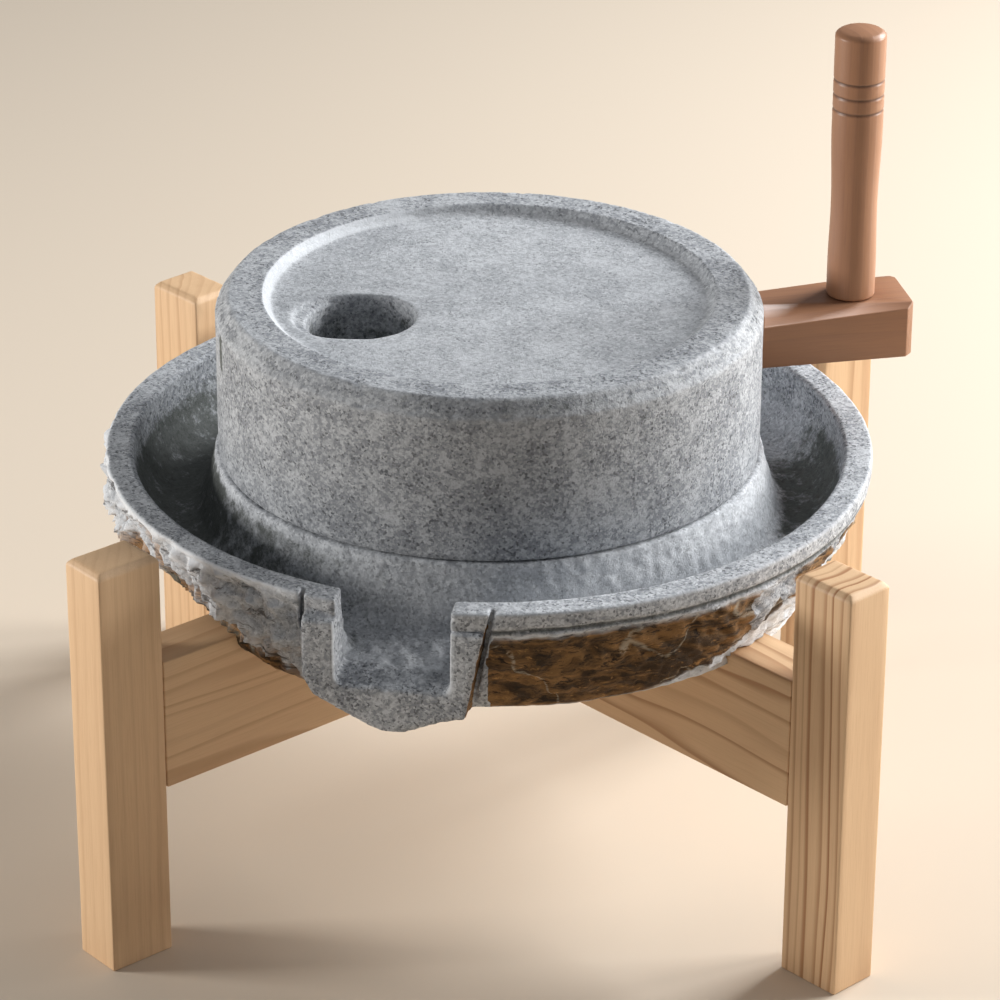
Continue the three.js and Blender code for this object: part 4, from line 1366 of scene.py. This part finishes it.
class MILL_OT_crank(bpy.types.Operator):
    """Make the crank's arm and its turned grip."""

    bl_idname = "mill.crank"
    bl_label = "Crank"

    def execute(self, context):
        edge = context.scene.mill_wood.edge
        middle = (ARM_LOW + ARM_HIGH) / 2
        material = timber_material(
            "crank_arm_wood", "beech", middle, CRANK_ANGLE, (8.0, 30.0, 0.0), (0.0, math.pi / 2, 0.0),
            rings=0.35, fibre=0.55, ring_width=5.0, waviness=8.0,
        )
        mesh = cad_copy("crank_arm", "crank_arm_fine", edge)
        add_piece(mesh, "crank_arm_fine", material, "crank_wood", "runner", "crank_arm")
        material = timber_material(
            "crank_grip_wood", "beech", (*GRIP_AXIS, 0.0), 0.5, (34.0, 6.0, 0.0),
            rings=0.3, fibre=0.5, ring_width=5.0, waviness=8.0, brightness=1.1, burnt="burnt",
        )
        foot = GRIP_HIGH[2] - GRIP_HEIGHT
        blank = bpy.data.meshes.new("grip_blank")
        values = {"Axis": (GRIP_AXIS[0] * MM, GRIP_AXIS[1] * MM, foot * MM), "Material": material}
        mesh = run_tree(blank, "crank_grip_fine", grip_tree(), values)
        face_outwards(mesh)
        add_piece(mesh, "crank_grip_fine", material, "crank_wood", "runner", "crank_grip")
        return {"FINISHED"}


class MILL_OT_rails(bpy.types.Operator):
    """Make the two crossed rails of the stand."""

    bl_idname = "mill.rails"
    bl_label = "Rails"

    def execute(self, context):
        edge = context.scene.mill_wood.edge
        for number, (node, angle) in enumerate(RAILS.items()):
            turn = math.radians(angle)
            middle = (*STAND_MIDDLE, (RAIL_LOW[2] + RAIL_HIGH[2]) / 2)
            pith = (20.0 + 14 * number, 34.0 - 60 * number, 40.0)
            material = timber_material(
                node + "_pine", "pine", middle, turn, pith, (0.0, math.pi / 2, 0.05),
                rings=(0.8, 0.4)[number], fibre=0.16, ring_width=7.5, waviness=34.0,
            )
            blank = cad_copy(node, node + "_blank", edge)
            close_shoulders(blank, turn)
            values = {"Cuts": 2, "Seed": 3.0 + number, "Material": material}
            mesh = run_tree(blank, node + "_fine", timber_tree(), values)
            add_piece(mesh, node + "_fine", material, "pine", "base", node)
        return {"FINISHED"}


class MILL_OT_legs(bpy.types.Operator):
    """Make the stand's four legs."""

    bl_idname = "mill.legs"
    bl_label = "Legs"

    def execute(self, context):
        edge = context.scene.mill_wood.edge
        # Where each log's axis lies, and how dark its rings are.
        logs = {
            "leg_front_left": ((-190.0, 150.0, 10.0), 0.16),
            "leg_front_right": ((70.5, 3.0, 300.0), 1.0),
            "leg_back_right": ((20.0, 60.0, 600.0), 0.6),
            "leg_back_left": ((-150.0, -130.0, 900.0), 0.35),
        }
        for number, (node, angle) in enumerate(LEG_ANGLES.items()):
            low, high = node_box(node)
            material = timber_material(
                node + "_pine", "pine", (*((low + high) / 2)[:2], 0.0), math.radians(angle), logs[node][0],
                rings=logs[node][1], fibre=0.2, ring_width=5.2, waviness=12.0,
            )
            blank = cad_copy(node, node + "_blank", edge)
            values = {"Cuts": 3, "Seed": 10.0 + number, "Material": material}
            mesh = run_tree(blank, node + "_fine", timber_tree(), values)
            add_piece(mesh, node + "_fine", material, "pine", "base", node)
        return {"FINISHED"}


def add_area_light(name, place, size, power, colour):
    """A soft square light that faces the mill."""
    light = bpy.data.lights.new(name, "AREA")
    light.size = size
    light.energy = power
    light.color = colour
    lamp = bpy.data.objects.new(name, light)
    lamp.location = place
    lamp.rotation_euler = (Vector(LIT_POINT) - Vector(place)).to_track_quat("-Z", "Y").to_euler()
    bpy.context.scene.collection.objects.link(lamp)


class MILL_OT_stage(bpy.types.Operator):
    """Make the floor, the lights and the camera."""

    bl_idname = "mill.stage"
    bl_label = "Stage"

    def execute(self, context):
        stage = context.scene.mill_stage
        half = FLOOR_WIDTH / 2
        floor_mesh = bpy.data.meshes.new("floor")
        corners = [(-half, -half, 0), (half, -half, 0), (half, half, 0), (-half, half, 0)]
        floor_mesh.from_pydata(corners, [], [(0, 1, 2, 3)])
        material, tree, shader = new_material("floor_paper", 0.7)
        cloud = tree.noise(tree.add("ShaderNodeTexCoord").outputs["Object"], 3.0, 2.0)
        colour = tree.mix(tree.times(cloud, 0.15), rgba(stage.floor), rgba(stage.floor, 0.93))
        tree.feed(shader.inputs["Base Color"], colour)
        floor_mesh.materials.append(material)
        floor = bpy.data.objects.new("floor", floor_mesh)
        context.scene.collection.objects.link(floor)

        powers = (stage.back_power, stage.right_power, stage.left_power)
        for (name, place, size, light_colour), power in zip(LIGHTS, powers):
            add_area_light(name, place, size, power, light_colour)
        world = bpy.data.worlds.new("studio")
        world.use_nodes = True
        background = world.node_tree.nodes["Background"]
        background.inputs["Color"].default_value = (0.94, 0.96, 1.0, 1.0)
        background.inputs["Strength"].default_value = stage.sky
        context.scene.world = world
        context.scene.view_settings.view_transform = "Standard"

        camera = bpy.data.cameras.new("camera")
        camera.lens = CAMERA_LENS
        camera.clip_start = 0.1
        viewer = bpy.data.objects.new("camera", camera)
        turn = Matrix.Identity(4)
        for degrees, axis in CAMERA_TURNS:
            turn = turn @ Matrix.Rotation(math.radians(degrees), 4, axis)
        viewer.matrix_world = Matrix.Translation(CAMERA_PLACE) @ turn
        context.scene.collection.objects.link(viewer)
        context.scene.camera = viewer
        return {"FINISHED"}


class MILL_PT_panel(bpy.types.Panel):
    """The mill's pieces and their settings."""

    bl_label = "Stone Mill"
    bl_idname = "MILL_PT_panel"
    bl_space_type = "VIEW_3D"
    bl_region_type = "UI"
    bl_category = "Stone Mill"

    def draw(self, context):
        for operator in OPERATORS:
            self.layout.operator(operator.bl_idname)
        for settings in (context.scene.mill_stone, context.scene.mill_wood, context.scene.mill_stage):
            box = self.layout.box()
            for name in settings.__annotations__:
                box.prop(settings, name)


OPERATORS = (
    MILL_OT_stage,
    MILL_OT_base_stone,
    MILL_OT_runner_stone,
    MILL_OT_centre_pin,
    MILL_OT_crank,
    MILL_OT_rails,
    MILL_OT_legs,
)
CLASSES = (StoneSettings, WoodSettings, StageSettings, *OPERATORS, MILL_PT_panel)


def register():
    for one in CLASSES:
        bpy.utils.register_class(one)
    bpy.types.Scene.mill_stone = PointerProperty(type=StoneSettings)
    bpy.types.Scene.mill_wood = PointerProperty(type=WoodSettings)
    bpy.types.Scene.mill_stage = PointerProperty(type=StageSettings)


def unregister():
    del bpy.types.Scene.mill_stone
    del bpy.types.Scene.mill_wood
    del bpy.types.Scene.mill_stage
    for one in reversed(CLASSES):
        bpy.utils.unregister_class(one)


def main():
    """Makes the whole mill and its stage."""
    register()
    bpy.ops.mill.stage()
    bpy.ops.mill.base_stone()
    bpy.ops.mill.runner_stone()
    bpy.ops.mill.centre_pin()
    bpy.ops.mill.crank()
    bpy.ops.mill.rails()
    bpy.ops.mill.legs()


if __name__ == "__main__":
    main()
